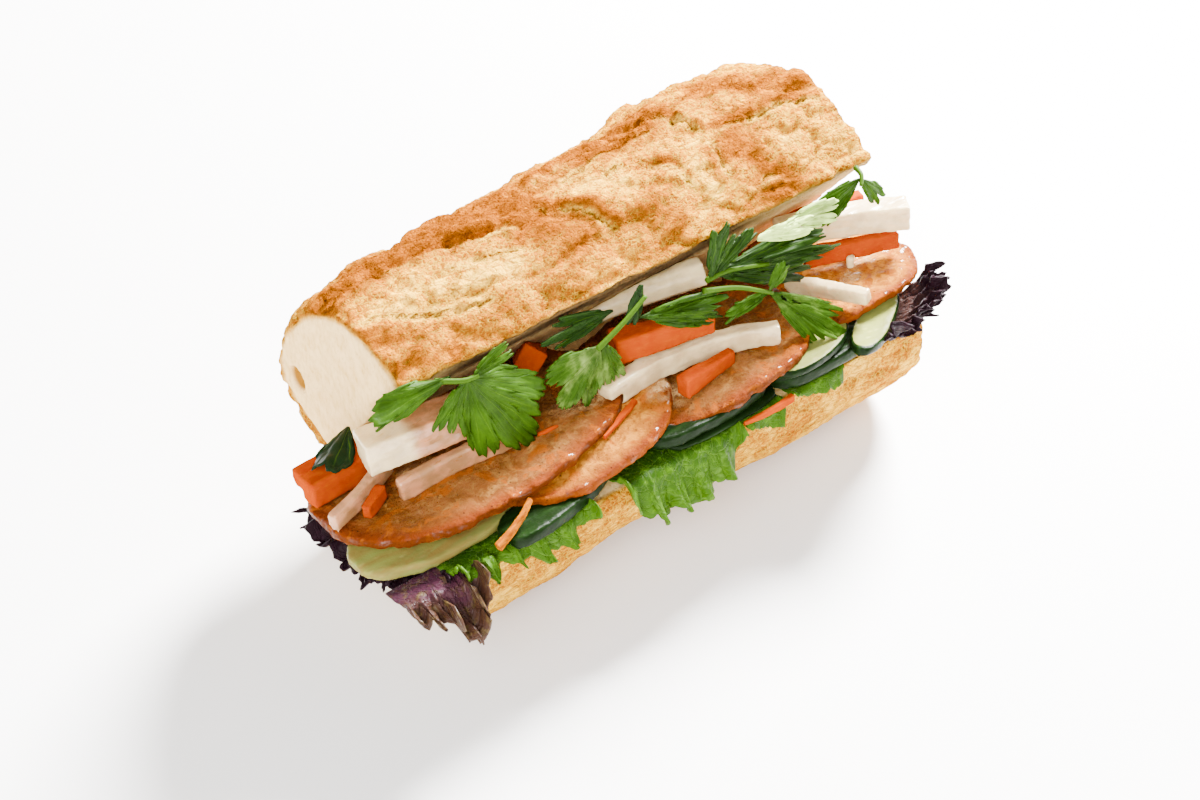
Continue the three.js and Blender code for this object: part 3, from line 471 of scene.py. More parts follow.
class Finish:
    """A material being put together."""

    def __init__(self, name):
        self.material = bpy.data.materials.new(name)
        self.material.use_nodes = True
        self.tree = self.material.node_tree
        self.start = Signal(self.tree)
        self.surface = next(n for n in self.tree.nodes if n.type == "BSDF_PRINCIPLED")
        self.place = self.start.node("ShaderNodeTexCoord", output="Object")

    def set(self, **values):
        """Sets or links inputs of the surface; underscores in the names stand for spaces."""
        for key, value in values.items():
            socket = self.surface.inputs[key.replace("_", " ")]
            if isinstance(value, Signal):
                self.tree.links.new(value.socket, socket)
            else:
                socket.default_value = fitted(value, socket)

    def stretched(self, factors, place=None):
        return self.start.node("ShaderNodeMapping", {"Vector": place or self.place, "Scale": factors},
                               vector_type="POINT")

    def noise(self, size, detail=4, roughness=0.6, distortion=0.0, place=None):
        """Noise from 0 to 1 with features of the given size in millimetres."""
        return self.start.node("ShaderNodeTexNoise", {
            "Vector": place or self.place, "Scale": 1 / (size * MM), "Detail": detail, "Roughness": roughness,
            "Distortion": distortion})

    def warped(self, size, amount, place=None):
        """The place pushed about by noise of the given size, by up to amount millimetres."""
        shake = self.start.node("ShaderNodeTexNoise", {"Vector": place or self.place, "Scale": 1 / (size * MM)},
                                output="Color")
        return self.start.node("ShaderNodeVectorMath", {0: shake, 1: (amount * MM,) * 3, 2: place or self.place},
                               operation="MULTIPLY_ADD")

    def cells(self, size, feature="F1", place=None, randomness=1.0):
        return self.start.node("ShaderNodeTexVoronoi", {
            "Vector": place or self.place, "Scale": 1 / (size * MM), "Randomness": randomness}, feature=feature)

    def mark(self, name):
        return self.start.node("ShaderNodeAttribute", output="Fac", attribute_name=name)

    def sheet_place(self):
        """The marks u_mm and v_mm as a place on a leaf."""
        return self.start.node("ShaderNodeCombineXYZ", {0: self.mark("u_mm"), 1: self.mark("v_mm")})

    def bump(self, height, distance, strength=1.0):
        """Relief of the given height in millimetres."""
        bumped = self.start.node("ShaderNodeBump", {
            "Height": height, "Distance": distance * MM, "Strength": strength})
        self.set(Normal=bumped)


# ---------------------------------------------------------------- settings
def tint(name, code, description):
    return bpy.props.FloatVectorProperty(name=name, subtype="COLOR", size=3, min=0, max=1, default=colour(code),
                                         description=description)


def size(name, value, description):
    return bpy.props.FloatProperty(name=name, default=value * MM, min=0, unit="LENGTH", description=description)


class BreadLooks(bpy.types.PropertyGroup):
    skin: size("Skin size", 1.12, "Size of the small faces that carry the relief")
    crust_depth: size("Crust depth", 2.4, "How deep the crust reaches into the crumb")
    blister: size("Blister height", 1.3, "Height of the wrinkles and blisters of the crust")
    gold: tint("Gold", "ae6200", "Crust at its usual bake")
    brown: tint("Brown", "864600", "Crust where it is well baked")
    dark: tint("Dark brown", "5e2e00", "Crust where it is baked darkest")
    wheat: tint("Wheat", "c67e00", "Crust that is lightly baked")
    pale: tint("Pale", "f0b83c", "Crust where it tore open in the oven")
    crumb: tint("Crumb", "e6c284", "Inside of the bread")


class FillingLooks(bpy.types.PropertyGroup):
    skin: size("Skin size", 0.85, "Size of the small faces of the slices")
    ham_thickness: size("Ham thickness", 3.4, "Thickness of a slice of ham")
    ham: tint("Ham", "845024", "Cut face of the ham")
    # The rim colour is partly the browned rim of the meat and partly painted shade of the slice's bent-down front.
    ham_rim_and_shade: tint("Ham rim", "6c2c04", "Browned rim of the ham")
    glaze: tint("Glaze", "964a02", "Sauce on the ham")
    peel: tint("Peel", "0a1804", "Skin of the cucumber")
    flesh: tint("Flesh", "74703c", "Flesh of the cucumber")
    daikon: tint("Daikon", "e6cc98", "Pickled daikon")
    carrot: tint("Carrot", "9a3800", "Carrot")


class LeafLooks(bpy.types.PropertyGroup):
    thickness: size("Leaf thickness", 0.6, "Thickness of a leaf")
    stem: size("Stem thickness", 1.8, "Thickness of a cilantro stem")
    lettuce: tint("Lettuce", "305002", "Green salad leaf")
    lettuce_rib: tint("Lettuce rib", "5c8028", "Ribs and inner part of a green salad leaf")
    red: tint("Red leaf", "14060c", "Dark rim of a red salad leaf")
    red_inner: tint("Red leaf, inner part", "3e2822", "Inner part of a red salad leaf")
    bronze: tint("Bronze leaf", "3a2418", "Olive brown lobe")
    cilantro: tint("Cilantro", "1e3406", "Cilantro leaf")
    cilantro_pale: tint("Pale cilantro", "c4e078", "Cilantro leaf seen from its pale side")


class StageLooks(bpy.types.PropertyGroup):
    camera: bpy.props.FloatVectorProperty(name="Camera", size=3, subtype="TRANSLATION", unit="LENGTH",
                                          default=tuple(section(-308.01, -392.52, 497.07) * MM), description="Camera place")
    heading: bpy.props.FloatProperty(name="Heading", subtype="ANGLE", default=math.radians(49.79),
                                     description="Way the camera looks, from the X axis")
    pitch: bpy.props.FloatProperty(name="Pitch", subtype="ANGLE", default=math.radians(-44.98),
                                   description="How far the camera looks up")
    roll: bpy.props.FloatProperty(name="Roll", subtype="ANGLE", default=math.radians(3.0),
                                  description="Turn of the camera about its own axis")
    lens: bpy.props.FloatProperty(name="Lens", default=60.0, min=1, description="Focal length, millimetres")
    key: bpy.props.FloatProperty(name="Key light", default=400.0, min=0, description="Power of the soft key light")
    fill: bpy.props.FloatProperty(name="Fill light", default=60.0, min=0, description="Power of the fill light")
    sky: bpy.props.FloatProperty(name="Surroundings", default=0.85, min=0, description="Light from all round")
    floor: tint("Floor", "f4f2f0", "Floor")


# ---------------------------------------------------------------- bread
def crust_place(x, degrees):
    """A point of the upper crust from x and degrees round it from the front edge."""
    turn = math.radians(degrees)
    power = 2 / ROUNDNESS
    across = math.copysign(abs(math.cos(turn)) ** power, math.cos(turn))
    reach = UPPER_CUT / 2 * (1 + across)
    rise = along(UPPER_DEPTH, x) * math.sin(turn) ** power
    return section(
        x,
        -reach * math.cos(UPPER_ANGLE) + rise * math.sin(UPPER_ANGLE),
        HINGE_HEIGHT + reach * math.sin(UPPER_ANGLE) + rise * math.cos(UPPER_ANGLE),
    )


def face_heights(place):
    """How far a point is above the lower cut face and above the upper one."""
    y, z = place.y - OFFSET.y, place.z - HINGE_HEIGHT
    low = y * math.sin(LOWER_ANGLE) + z * math.cos(LOWER_ANGLE)
    high = y * math.sin(UPPER_ANGLE) + z * math.cos(UPPER_ANGLE)
    return low, high


def crust_degrees(place):
    """Degrees round the upper crust from the front edge."""
    y, z = place.y - OFFSET.y, place.z - HINGE_HEIGHT
    reach = -y * math.cos(UPPER_ANGLE) + z * math.sin(UPPER_ANGLE)
    rise = y * math.sin(UPPER_ANGLE) + z * math.cos(UPPER_ANGLE)
    across = 2 * reach / UPPER_CUT - 1
    power = ROUNDNESS / 2
    depth = along(UPPER_DEPTH, place.x - OFFSET.x)
    return math.degrees(math.atan2(max(0, rise / depth) ** power, math.copysign(abs(across) ** power, across)))


def crust_tree(bm):
    """A search tree over the baked faces: neither the mouth's two faces nor the cut end."""
    left = min(vert.co.x for vert in bm.verts)
    faces = []
    for face in bm.faces:
        centre = face.calc_center_median()
        low, high = face_heights(centre)
        in_mouth = high < 1.2 and low > -1.2 and centre.y < OFFSET.y + 2
        cut_end = face.normal.x < -0.7 and centre.x < left + 20
        if not in_mouth and not cut_end:
            faces.append([vert.index for vert in face.verts])
    return BVHTree.FromPolygons([vert.co.copy() for vert in bm.verts], faces)


def path_tree(points):
    """A search tree of points 1 mm apart on the crust along (x, degrees) points, and their degrees."""
    samples = []
    for (x1, d1), (x2, d2) in zip(points, points[1:]):
        count = max(2, int((crust_place(x1, d1) - crust_place(x2, d2)).length))
        samples += [(mix(x1, x2, i / count), mix(d1, d2, i / count), (x1, x2)) for i in range(count + 1)]
    tree = kdtree.KDTree(len(samples))
    for i, (x, degrees, _) in enumerate(samples):
        tree.insert(crust_place(x, degrees), i)
    tree.balance()
    return tree, [degrees for _, degrees, _ in samples], len(samples)


def crust_plate(place, size, stretch):
    """The baked skin as plates: 0 in the creases to 1 on a plate, how near the crease is, and the
    plate's own number, -1 to 1."""
    spot = Vector((place.x * stretch, place.y, place.z)) / size
    distances, points = noise.voronoi(spot)
    gap = distances[1] - distances[0]
    return smooth(0.02, 0.3, gap), 1 - min(1, gap / 0.4), noise.noise(points[0] * 3.7)


def bread_mesh(looks):
    bm = cad_copy("roll")
    bm.normal_update()
    baked = crust_tree(bm)
    bm = resurface(bm, looks.skin / MM)
    relax(bm, 5)
    cracks = [(crack, *path_tree(crack["path"])) for crack in CRACKS]
    bakes = [(path_tree([a, b]), reach, strength) for a, b, reach, strength in BAKES]
    blister = looks.blister / MM
    names = ("inside", "bake", "pit", "lip", "crease", "seam")
    layers = {name: bm.verts.layers.float.new(name) for name in names}
    left = min(vert.co.x for vert in bm.verts)
    bm.normal_update()
    moves = []
    for vert in bm.verts:
        place = vert.co
        inside = baked.find_nearest(place)[3]
        on_crust = 1 - smooth(0.6, 2.2, inside)
        low, high = face_heights(place)
        upper = smooth(-4, 3, high) * smooth(-2, 6, low)
        warped = place + 2.2 * noise.turbulence_vector(place / 9, 3, False)
        long_place = Vector((warped.x * 0.55, warped.y, warped.z))
        swell = rough(place, 17, 3, 3.1)
        wrinkle = ridged(long_place, 7.5, 4, 8.4)
        grain = rough(warped, 2.6, 4, 1.7)
        height = crease = 0.0
        plate, seam, own = crust_plate(place + 3.0 * noise.turbulence_vector(place / 14, 3, False), 15, 0.6)
        bake = 0.54 + 0.1 * swell + 0.22 * (wrinkle - 0.45) + 0.1 * grain + 0.34 * own * plate + 0.12 * (1 - plate)
        if upper > 0.02:
            degrees = crust_degrees(place)
            for crack, tree, turns, count in cracks:
                _, index, distance = tree.find(place)
                if distance > 9:
                    continue
                ends = smooth(0, 5, index) * smooth(0, 5, count - 1 - index)
                wander = distance * (1 if degrees > turns[index] else -1) + 0.9 * rough(place, 5, 2, 5.0)
                groove = math.exp(-(wander / crack["width"]) ** 2)
                lip = math.exp(-((wander - crack["width"] * 1.6) / 2.4) ** 2) if wander > 0 else groove
                crease = max(crease, ends * (1 - abs(wander) / 3))
                height += ends * (lip * crack["lip"] - groove * crack["depth"])
                bake += ends * (0.35 * lip * (1 if crack["lip"] > 0 else -0.6) - 0.3 * groove)
            for (tree, _, _), reach, strength in bakes:
                _, _, distance = tree.find(place)
                bake += strength * math.exp(-(distance / reach) ** 2)
        soft = mix(0.45, 1, upper) * smooth(0.5, 7, place.z)
        height = height * upper + soft * blister * (1.0 * (wrinkle - 0.5) + 0.5 * grain + 0.7 * swell
                                                    + 0.9 * (plate - 0.7) + 0.5 * own * plate)
        crumb_height = 0.28 * rough(place, 3.2, 4, 6.0) - 0.5 * smooth(0.62, 0.95, ridged(place, 6, 2, 2.2))
        total = on_crust * height + (1 - on_crust) * crumb_height
        moves.append((vert, vert.normal * total))
        vert[layers["inside"]] = inside
        vert[layers["bake"]] = min(1, max(0, mix(0.34 + 0.26 * swell + 0.2 * grain, bake, upper)))
        # The lip mark holds painted shadow: the dark strip in the mouth behind the upper half's front edge.
        vert[layers["lip"]] = painted_mouth_shadow(place, high)
        vert[layers["crease"]] = crease * upper
        vert[layers["seam"]] = seam
        pit = lower_pit(place, left)
        vert[layers["pit"]] = pit
        moves[-1] = (vert, vert.normal * total - Vector((-1, 0, 0)) * 2.4 * pit)
    for vert, move in moves:
        vert.co += move
        vert.co.z = max(vert.co.z, 0)
    return bm


def painted_mouth_shadow(place, high):
    """How far a point on the upper cut face is in the dark strip behind its front edge: painted shadow of the mouth
    under the upper crust, partly sauce-soaked crumb.
    """
    y, z = place.y - OFFSET.y, place.z - HINGE_HEIGHT
    reach = -y * math.cos(UPPER_ANGLE) + z * math.sin(UPPER_ANGLE)
    along_roll = smooth(-92, -60, place.x - OFFSET.x) * (1 - 0.75 * smooth(30, 62, place.x - OFFSET.x))
    behind = UPPER_CUT - reach + 3 * rough(place, 9, 2, 4.0)
    return (1 - smooth(16, 30, behind)) * (1 - smooth(1.5, 4, abs(high))) * mix(0.3, 1, along_roll)


def lower_pit(place, left):
    """The one large hole in the crumb at the cut end, 1 at its middle."""
    across = Vector((place.y - OFFSET.y - 6.7, (place.z - 57.0) * 0.72)).length
    return (1 - smooth(2.0, 4.4, across)) * (1 - smooth(6, 9, place.x - left))


def bread_finish(looks):
    m = Finish("Bread")
    bake = m.mark("bake")
    inside = m.mark("inside")
    patch = m.noise(8.0, 5, 0.65, 1.0, place=m.stretched((0.6, 1.0, 1.0)))
    mottle = m.noise(2.0, 5, 0.72, 0.9, place=m.stretched((0.5, 1.0, 1.0)))
    flake = m.noise(0.7, 4, 0.75, 1.4, place=m.stretched((0.6, 1.0, 1.0)))
    skin = m.cells(3.4, "DISTANCE_TO_EDGE", m.warped(5.0, 4.5, m.stretched((0.6, 1.0, 1.0))))
    scale = m.cells(1.5, "DISTANCE_TO_EDGE", m.warped(2.4, 2.2))
    fold = 1 - skin.step(0.0, 0.16)
    crinkle = 1 - scale.step(0.0, 0.2)
    level = bake + 0.42 * (patch.step(0.36, 0.64) - 0.5) + 0.36 * (mottle.step(0.36, 0.64) - 0.5)
    # The folds push the level towards darker bake: painted shade in the folds.
    level = level + 0.34 * (flake.step(0.38, 0.62) - 0.5) + 0.14 * (fold - 0.3)
    crust = level.step(0.0, 0.3).blend(looks.pale, looks.wheat)
    crust = level.step(0.25, 0.55).blend(crust, looks.gold)
    crust = level.step(0.52, 0.86).blend(crust, looks.brown)
    crust = level.step(0.9, 1.3).blend(crust, looks.dark)
    crease = m.mark("crease") + 0.3 * (mottle - 0.5)
    line = crease.step(0.74, 0.9)
    seam = (m.mark("seam") + 0.7 * (mottle - 0.5)).step(0.84, 1.0) * patch.step(0.4, 0.6)
    crust = (0.6 * crease.step(0.3, 0.6) * (1 - bake.step(0.55, 0.95))).blend(crust, flake.step(0.4, 0.6).blend(looks.gold, colour("f4c440")))
    # Painted shade: the groove bottoms of the cracks and the creases between the plates are painted dark brown.
    crust = (0.8 * line + 0.55 * seam).blend(crust, looks.dark)
    # Painted glints: small bright yellow specks on the less baked crust stand in for the crust's sparkle, which gets
    # no specular.
    painted_glint = flake.step(0.56, 0.66) * (1 - bake.step(0.5, 0.95))
    crust = (0.65 * painted_glint).blend(crust, colour("f8cc38"))
    crust = (0.45 * crinkle * mottle.step(0.4, 0.55) * (1 - bake.step(0.45, 0.9))).blend(crust, colour("f4c430"))
    # Painted shade: the folds along the edges of the skin cells are painted brown where the mottle is low.
    crust = (0.7 * fold * (1 - mottle.step(0.42, 0.55))).blend(crust, looks.brown)
    crumb_noise = m.noise(5.0, 5, 0.6)
    fibre = m.noise(1.3, 4, 0.7, place=m.stretched((1.0, 1.0, 0.3)))
    crumb = (0.45 * crumb_noise.step(0.35, 0.7) + 0.55 * fibre.step(0.42, 0.7)).blend(
        looks.crumb, colour("caa05c"))
    rim = (inside + 1.6 * (mottle - 0.5)).step(0.5, looks.crust_depth / MM)
    edge = (inside + 1.2 * (mottle - 0.5)).step(0.2, 1.1)
    base = edge.blend(crust, colour("c48a1e"))
    base = rim.blend(base, crumb)
    # Painted shadow: the crumb strip in the mouth behind the upper half's front edge is painted dark grey-brown,
    # partly sauce-soaked crumb.
    base = (m.mark("lip") * edge * 0.95).blend(base, mottle.step(0.4, 0.6).blend(colour("2c2212"), colour("4a3420")))
    # Painted shade: the hole in the crumb at the cut end is painted darker tan.
    base = m.mark("pit").step(0.1, 0.7).blend(base, colour("8a5c14"))
    m.set(Base_Color=base, Roughness=0.7, Specular_IOR_Level=0.0, Subsurface_Weight=0.08,
          Subsurface_Radius=(1.0, 0.5, 0.2), Subsurface_Scale=0.002)
    crumb_relief = m.noise(1.1, 5, 0.7) * 0.5 + m.cells(1.7).step(0.0, 0.35) * 0.5
    crust_relief = flake * 0.5 + mottle * 0.8 + skin.step(0.0, 0.4) * 0.5 + scale.step(0.0, 0.35) * 0.3
    m.bump((1 - rim) * (crust_relief - line * 1.2 - seam * 0.6) + rim * crumb_relief * 0.4, 1.4)
    return m.material


class BANHMI_OT_bread(bpy.types.Operator):
    """Builds the roll: baked crust, cracks and crumb"""
    bl_idname = "banhmi.bread"
    bl_label = "Bread"

    def execute(self, context):
        looks = context.scene.banhmi_bread
        shown(bread_mesh(looks), "bread", bread_finish(looks), ["roll"])
        return {"FINISHED"}


# ---------------------------------------------------------------- slices
def slice_parts(shape, x, s):
    """How far along and across the slice a point is, 1 at its rim, and its distance from the rim."""
    turn = math.radians(shape.get("turn", 0))
    dx, ds = x - shape["centre"][0], s - shape["centre"][1]
    lengthwise = (dx * math.cos(turn) + ds * math.sin(turn)) / shape["half_length"]
    sideways = (ds * math.cos(turn) - dx * math.sin(turn)) / shape["half_width"]
    power = shape.get("roundness", 2.4)
    spread = (abs(lengthwise) ** power + abs(sideways) ** power) ** (1 / power)
    return lengthwise, sideways, (1 - spread) * shape["half_width"]


def slice_mesh(shape, thickness, voxel, waves):
    """A rounded slice lying on the lower half, with an even skin."""
    turn = math.radians(shape.get("turn", 0))
    power = shape.get("roundness", 2.4)
    inset = 0.985

    def place(u, v):
        t = math.sin((u - 0.5) * math.pi * 0.93) / math.sin(math.pi * 0.465)
        end = (1 - abs(t * inset) ** power) ** (1 / power)
        across = (v * 2 - 1) * end
        lengthwise, sideways = t * shape["half_length"], across * shape["half_width"]
        x = shape["centre"][0] + lengthwise * math.cos(turn) - sideways * math.sin(turn)
        s = shape["centre"][1] + lengthwise * math.sin(turn) + sideways * math.cos(turn)
        height = along(shape["lift"], x) + shape.get("slope", 0) * (s - shape["centre"][1])
        height += waves(x, s) - shape.get("droop", 0) * smooth(0.35, 1, across) - thickness / 2
        return lower(x, s, height)

    bm = bmesh.new()
    made = sheet(bm, 48, 24, place)
    faces = bm.faces[:]
    bmesh.ops.recalc_face_normals(bm, faces=faces)
    if faces[0].normal.z < 0:
        bmesh.ops.reverse_faces(bm, faces=faces)
    raised = bmesh.ops.extrude_face_region(bm, geom=faces)["geom"]
    up = lower(0, 0, 1) - lower(0, 0, 0)
    bmesh.ops.translate(bm, vec=up * thickness, verts=[g for g in raised if isinstance(g, bmesh.types.BMVert)])
    bmesh.ops.recalc_face_normals(bm, faces=bm.faces)
    bm = resurface(bm, voxel)
    relax(bm, 3)
    return bm


def lower_parts(place):
    """The (x, s, h) of a point: the reverse of lower()."""
    y, z = place.y - OFFSET.y, place.z - HINGE_HEIGHT
    return (
        place.x - OFFSET.x,
        -y * math.cos(LOWER_ANGLE) + z * math.sin(LOWER_ANGLE),
        y * math.sin(LOWER_ANGLE) + z * math.cos(LOWER_ANGLE),
    )


def ham_finish(looks):
    m = Finish("Ham")
    rim = m.mark("rim")
    side = m.mark("side")
    tone = m.mark("tone")
    cloud = m.noise(8, 5, 0.65)
    blotch = m.noise(3.2, 5, 0.7, 0.8)
    grain = m.noise(1.1, 5, 0.7)
    fibre = m.noise(1.4, 4, 0.65, 0.8, place=m.stretched((0.25, 1.0, 1.0)))
    face = cloud.step(0.38, 0.62).blend(looks.ham, colour("683a12"))
    face = (0.6 * blotch.step(0.45, 0.65)).blend(face, colour("9c6e34"))
    face = (0.5 * fibre.step(0.5, 0.66)).blend(face, colour("703e16"))
    warm = blotch.step(0.4, 0.6).blend(colour("d88c24"), colour("a45c04"))
    face = (tone * 0.85).blend(face, warm)
    # The rim band is partly the slice's browned rim and partly painted shade where the front of the slice bends down.
    rim_band_and_shade = (rim + 5.0 * (cloud - 0.5)).step(0.0, 6.5)
    base = rim_band_and_shade.blend(looks.ham_rim_and_shade, face)
    base = (0.8 * m.noise(9, 4, 0.6, 1.0).step(0.52, 0.6)).blend(base, looks.glaze)
    base = (side.step(0.3, 0.8) * 0.75).blend(base, tone.blend(colour("522402"), colour("843c00")))
    base = (0.45 * grain.step(0.55, 0.7)).blend(base, colour("4a2408"))
    speck = (1 - m.cells(2.2).step(0.08, 0.18)) * blotch.step(0.45, 0.58)
    base = speck.blend(base, colour("1c0a04"))
    wet = m.noise(4.0, 3, 0.6).step(0.5, 0.62)
    m.set(Base_Color=base, Roughness=grain.step(0.3, 0.8) * 0.25 + 0.36, Specular_IOR_Level=0.03,
          Coat_Weight=wet * 0.3, Coat_Roughness=0.1)
    m.bump(blotch * 1.0 + grain * 0.8 + fibre * 0.5, 1.1)
    return m.material


class BANHMI_OT_ham(bpy.types.Operator):
    """Builds the four slices of ham"""
    bl_idname = "banhmi.ham"
    bl_label = "Ham"

    def execute(self, context):
        looks = context.scene.banhmi_filling
        finish = ham_finish(looks)
        for i, ham in enumerate(HAMS):
            shape = {"slope": 0.085, "roundness": 2.3, **ham}
            seed = 11.0 * (i + 1)

            def waves(x, s):
                return shape["wave"] * 1.6 * rough((x, s, seed), 26, 2)

            def relief(place, normal):
                return 0.75 * rough(place, 8, 3, seed) + 0.35 * rough(place, 2.6, 3, seed)

            bm = slice_mesh(shape, looks.ham_thickness / MM, looks.skin / MM, waves)
            displace(bm, relief)
            up = lower(0, 0, 1) - lower(0, 0, 0)
            mark(bm, "rim", lambda place, normal: slice_parts(shape, *lower_parts(place)[:2])[2])
            mark(bm, "side", lambda place, normal: 1 - abs(normal.dot(up)))
            mark(bm, "tone", lambda place, normal: shape.get("tone", 0))
            name = f"ham_slice_{i + 1}"
            shown(bm, f"{name}_meat", finish, [name])
        return {"FINISHED"}


def cucumber_finish(looks):
    m = Finish("Cucumber")
    peel = m.mark("peel")
    core = m.mark("core")
    cloud = m.noise(5, 4, 0.6)
    fine = m.noise(1.0, 4, 0.6)
    lines = m.noise(2.0, 3, 0.6, place=m.stretched((0.12, 1, 1)))
    skin = lines.step(0.45, 0.72).blend(looks.peel, colour("12240a"))
    skin = (0.4 * fine.step(0.6, 0.8)).blend(skin, colour("244018"))
    flesh = (core + 0.5 * (cloud - 0.5)).step(0.2, 0.8).blend(looks.flesh, colour("8a8c44"))
    flesh = (0.5 * m.cells(2.6, place=m.stretched((0.5, 1, 1))).step(0.1, 0.3)).blend(flesh, colour("5c6628"))
    stain = m.noise(6.0, 4, 0.6, 0.8, place=m.stretched((0.3, 1, 1)))
    flesh = (0.7 * m.mark("tone") * stain.step(0.35, 0.65)).blend(flesh, colour("745828"))
    amount = (peel + 0.25 * (cloud - 0.5)).step(0.42, 0.6)
    m.set(Base_Color=amount.blend(flesh, skin), Roughness=0.24 + 0.2 * fine, Specular_IOR_Level=0.04,
          Subsurface_Weight=0.08, Subsurface_Radius=(0.6, 1.0, 0.4), Subsurface_Scale=0.002)
    m.bump(lines * 0.6 + fine * 0.3 + cloud * 0.5, 0.35)
    return m.material


class BANHMI_OT_cucumber(bpy.types.Operator):
    """Builds the slices of cucumber"""
    bl_idname = "banhmi.cucumber"
    bl_label = "Cucumber"

    def execute(self, context):
        looks = context.scene.banhmi_filling
        finish = cucumber_finish(looks)
        for i, (name, shape) in enumerate(CUCUMBERS.items()):
            seed = 5.0 * (i + 1)
            flesh = shape["flesh"]
            bm = slice_mesh(shape, shape["thickness"], 0.75, lambda x, s: 0.3 * rough((x, s, seed), 20, 2))
            displace(bm, lambda place, normal: 0.22 * rough(place, 6, 3, seed))

            def peel(place, normal):
                parts = slice_parts(shape, *lower_parts(place)[:2])
                return (1 - smooth(0.1, 0.9, parts[2])) * shape.get("peel", 1) if flesh else 1.0

            def core(place, normal):
                return 1 - abs(slice_parts(shape, *lower_parts(place)[:2])[1])

            mark(bm, "peel", peel)
            mark(bm, "core", core)
            mark(bm, "tone", lambda place, normal: shape.get("tone", 0))
            shown(bm, f"{name}_slice", finish, [name])
        return {"FINISHED"}


# ---------------------------------------------------------------- batons
def daikon_finish(looks):
    m = Finish("Daikon")
    cloud = m.noise(7, 4, 0.6)
    fibre = m.noise(1.6, 4, 0.6, place=m.stretched((0.2, 1, 1)))
    base = (cloud.step(0.35, 0.7) * 0.7).blend(looks.daikon, colour("b89c70"))
    base = (0.4 * fibre.step(0.5, 0.75)).blend(base, colour("ccb48c"))
    soaked = (m.mark("tone") + 0.3 * (cloud - 0.5)).step(0.1, 1.0)
    base = soaked.blend(base, cloud.step(0.4, 0.6).blend(colour("b87c54"), colour("946840")))
    m.set(Base_Color=base, Roughness=0.2 + 0.2 * fibre, Specular_IOR_Level=0.5, Subsurface_Weight=0.5,
          Subsurface_Radius=(1.0, 0.8, 0.6), Subsurface_Scale=0.004, Coat_Weight=0.3, Coat_Roughness=0.08)
    m.bump(fibre * 0.6 + cloud * 0.6, 0.3)
    return m.material


def carrot_finish(looks):
    m = Finish("Carrot")
    cloud = m.noise(5, 4, 0.6)
    fibre = m.noise(1.3, 4, 0.65, place=m.stretched((0.25, 1, 1)))
    base = (cloud.step(0.35, 0.7) * 0.8).blend(looks.carrot, colour("8c2c00"))
    base = (0.4 * fibre.step(0.5, 0.75)).blend(base, colour("a64c00"))
    base = m.mark("tone").blend(base, fibre.step(0.4, 0.6).blend(colour("a45a00"), colour("7c3c00")))
    m.set(Base_Color=base, Roughness=0.38 + 0.25 * fibre, Specular_IOR_Level=0.0, Subsurface_Weight=0.1,
          Subsurface_Radius=(1.0, 0.4, 0.1), Subsurface_Scale=0.002)
    m.bump(fibre * 0.7 + cloud * 0.5, 0.3)
    return m.material


class BANHMI_OT_batons(bpy.types.Operator):
    """Builds the batons and shreds of daikon and carrot"""
    bl_idname = "banhmi.batons"
    bl_label = "Daikon and carrot"

    def execute(self, context):
        looks = context.scene.banhmi_filling
        finishes = {"daikon": daikon_finish(looks), "carrot": carrot_finish(looks)}
        for i, name in enumerate(DAIKON + CARROT):
            kind = name.split("_")[0]
            thin = "shred" in name or "sliver" in name
            bm = resurface(cad_copy(name), 0.3 if thin else 0.55)
            relax(bm, 2 if thin else 4)
            seed = 3.0 * (i + 1)
            depth = 0.12 if thin else 0.3
            inset = 0.3 if thin else 0
            displace(bm, lambda place, normal: depth * rough((place.x * 0.4, place.y, place.z), 4, 3, seed) - inset)
            tone = SOAKED.get(name, 0)
            block = name == "daikon_block"
            mark(bm, "tone", lambda place, normal: smooth(-92, -84, place.x - OFFSET.x) if block else tone)
            shown(bm, f"{name}_cut", finishes[kind], [name])
        return {"FINISHED"}


# ---------------------------------------------------------------- leaves
def leaf_marks(u_size, v_size, pale):
    return [("u_mm", lambda u, v: u * u_size * MM), ("v_mm", lambda u, v: v * v_size * MM),
            ("out", lambda u, v: v), ("turn", lambda u, v: u), ("pale", lambda u, v: pale)]


def leaflet(bm, shape, thickness, pale, seed):
    """A fan-shaped leaflet: it spreads from its hub in lobes with toothed, rounded edges."""
    on = shape.get("on", pile)
    hub, length = shape["hub"], shape["length"]
    lobes, teeth = shape.get("lobes", 3), shape.get("teeth", 3)
    notch, tooth = shape.get("notch", 0.4), shape.get("tooth", 0.15)
    cup, tilt, falloff = shape.get("cup", 0.1), shape.get("tilt", 0), shape.get("falloff", 0.45)
    points = lobes * teeth
    neck = 0.5

    def place(u, v):
        offset = u * 2 - 1
        skew = u + 0.012 * math.sin(2 * math.pi * points * u)
        angle = math.radians(shape["heading"] + offset * shape["spread"] + 2.5 * rough((u * 7, v * 2, seed), 1, 2))
        lobe = abs(math.sin(lobes * math.pi * u)) ** 0.6
        jag = 1 - abs(2 * (points * skew % 1) - 1) ** 1.25
        small = 0.05 * abs(2 * (2 * points * u % 1) - 1)
        edge = 1 - notch * (1 - lobe) - tooth * (1 - jag) - small
        edge += 0.06 * rough((u * 6, seed, 0), 1, 2)
        outline = edge * (1 - falloff * abs(offset) ** 1.7)
        reach = neck + v * (length * outline - neck)
        ripple = cup * length * (0.35 * math.cos(lobes * 2 * math.pi * u) * v - offset * offset * v)
        pleat = -shape.get("pleat", 0.09) * math.cos(2 * math.pi * points * u) * v * min(1, length / 20)
        curl = 0.07 * length * rough((u * 3, v * 2, seed + 3), 1, 3) * v
        p = hub[2] + ripple + tilt * reach + pleat + curl
        return on(hub[0] + reach * math.cos(angle), hub[1] + reach * math.sin(angle), p)

    width = 2 * math.radians(shape["spread"]) * length
    made = sheet(bm, points * 8, 16, place, leaf_marks(width, length, pale)
                 + [("veins", lambda u, v: 0.5 + 0.5 * math.cos(2 * math.pi * points * u))])
    thicken(bm, made, thickness)


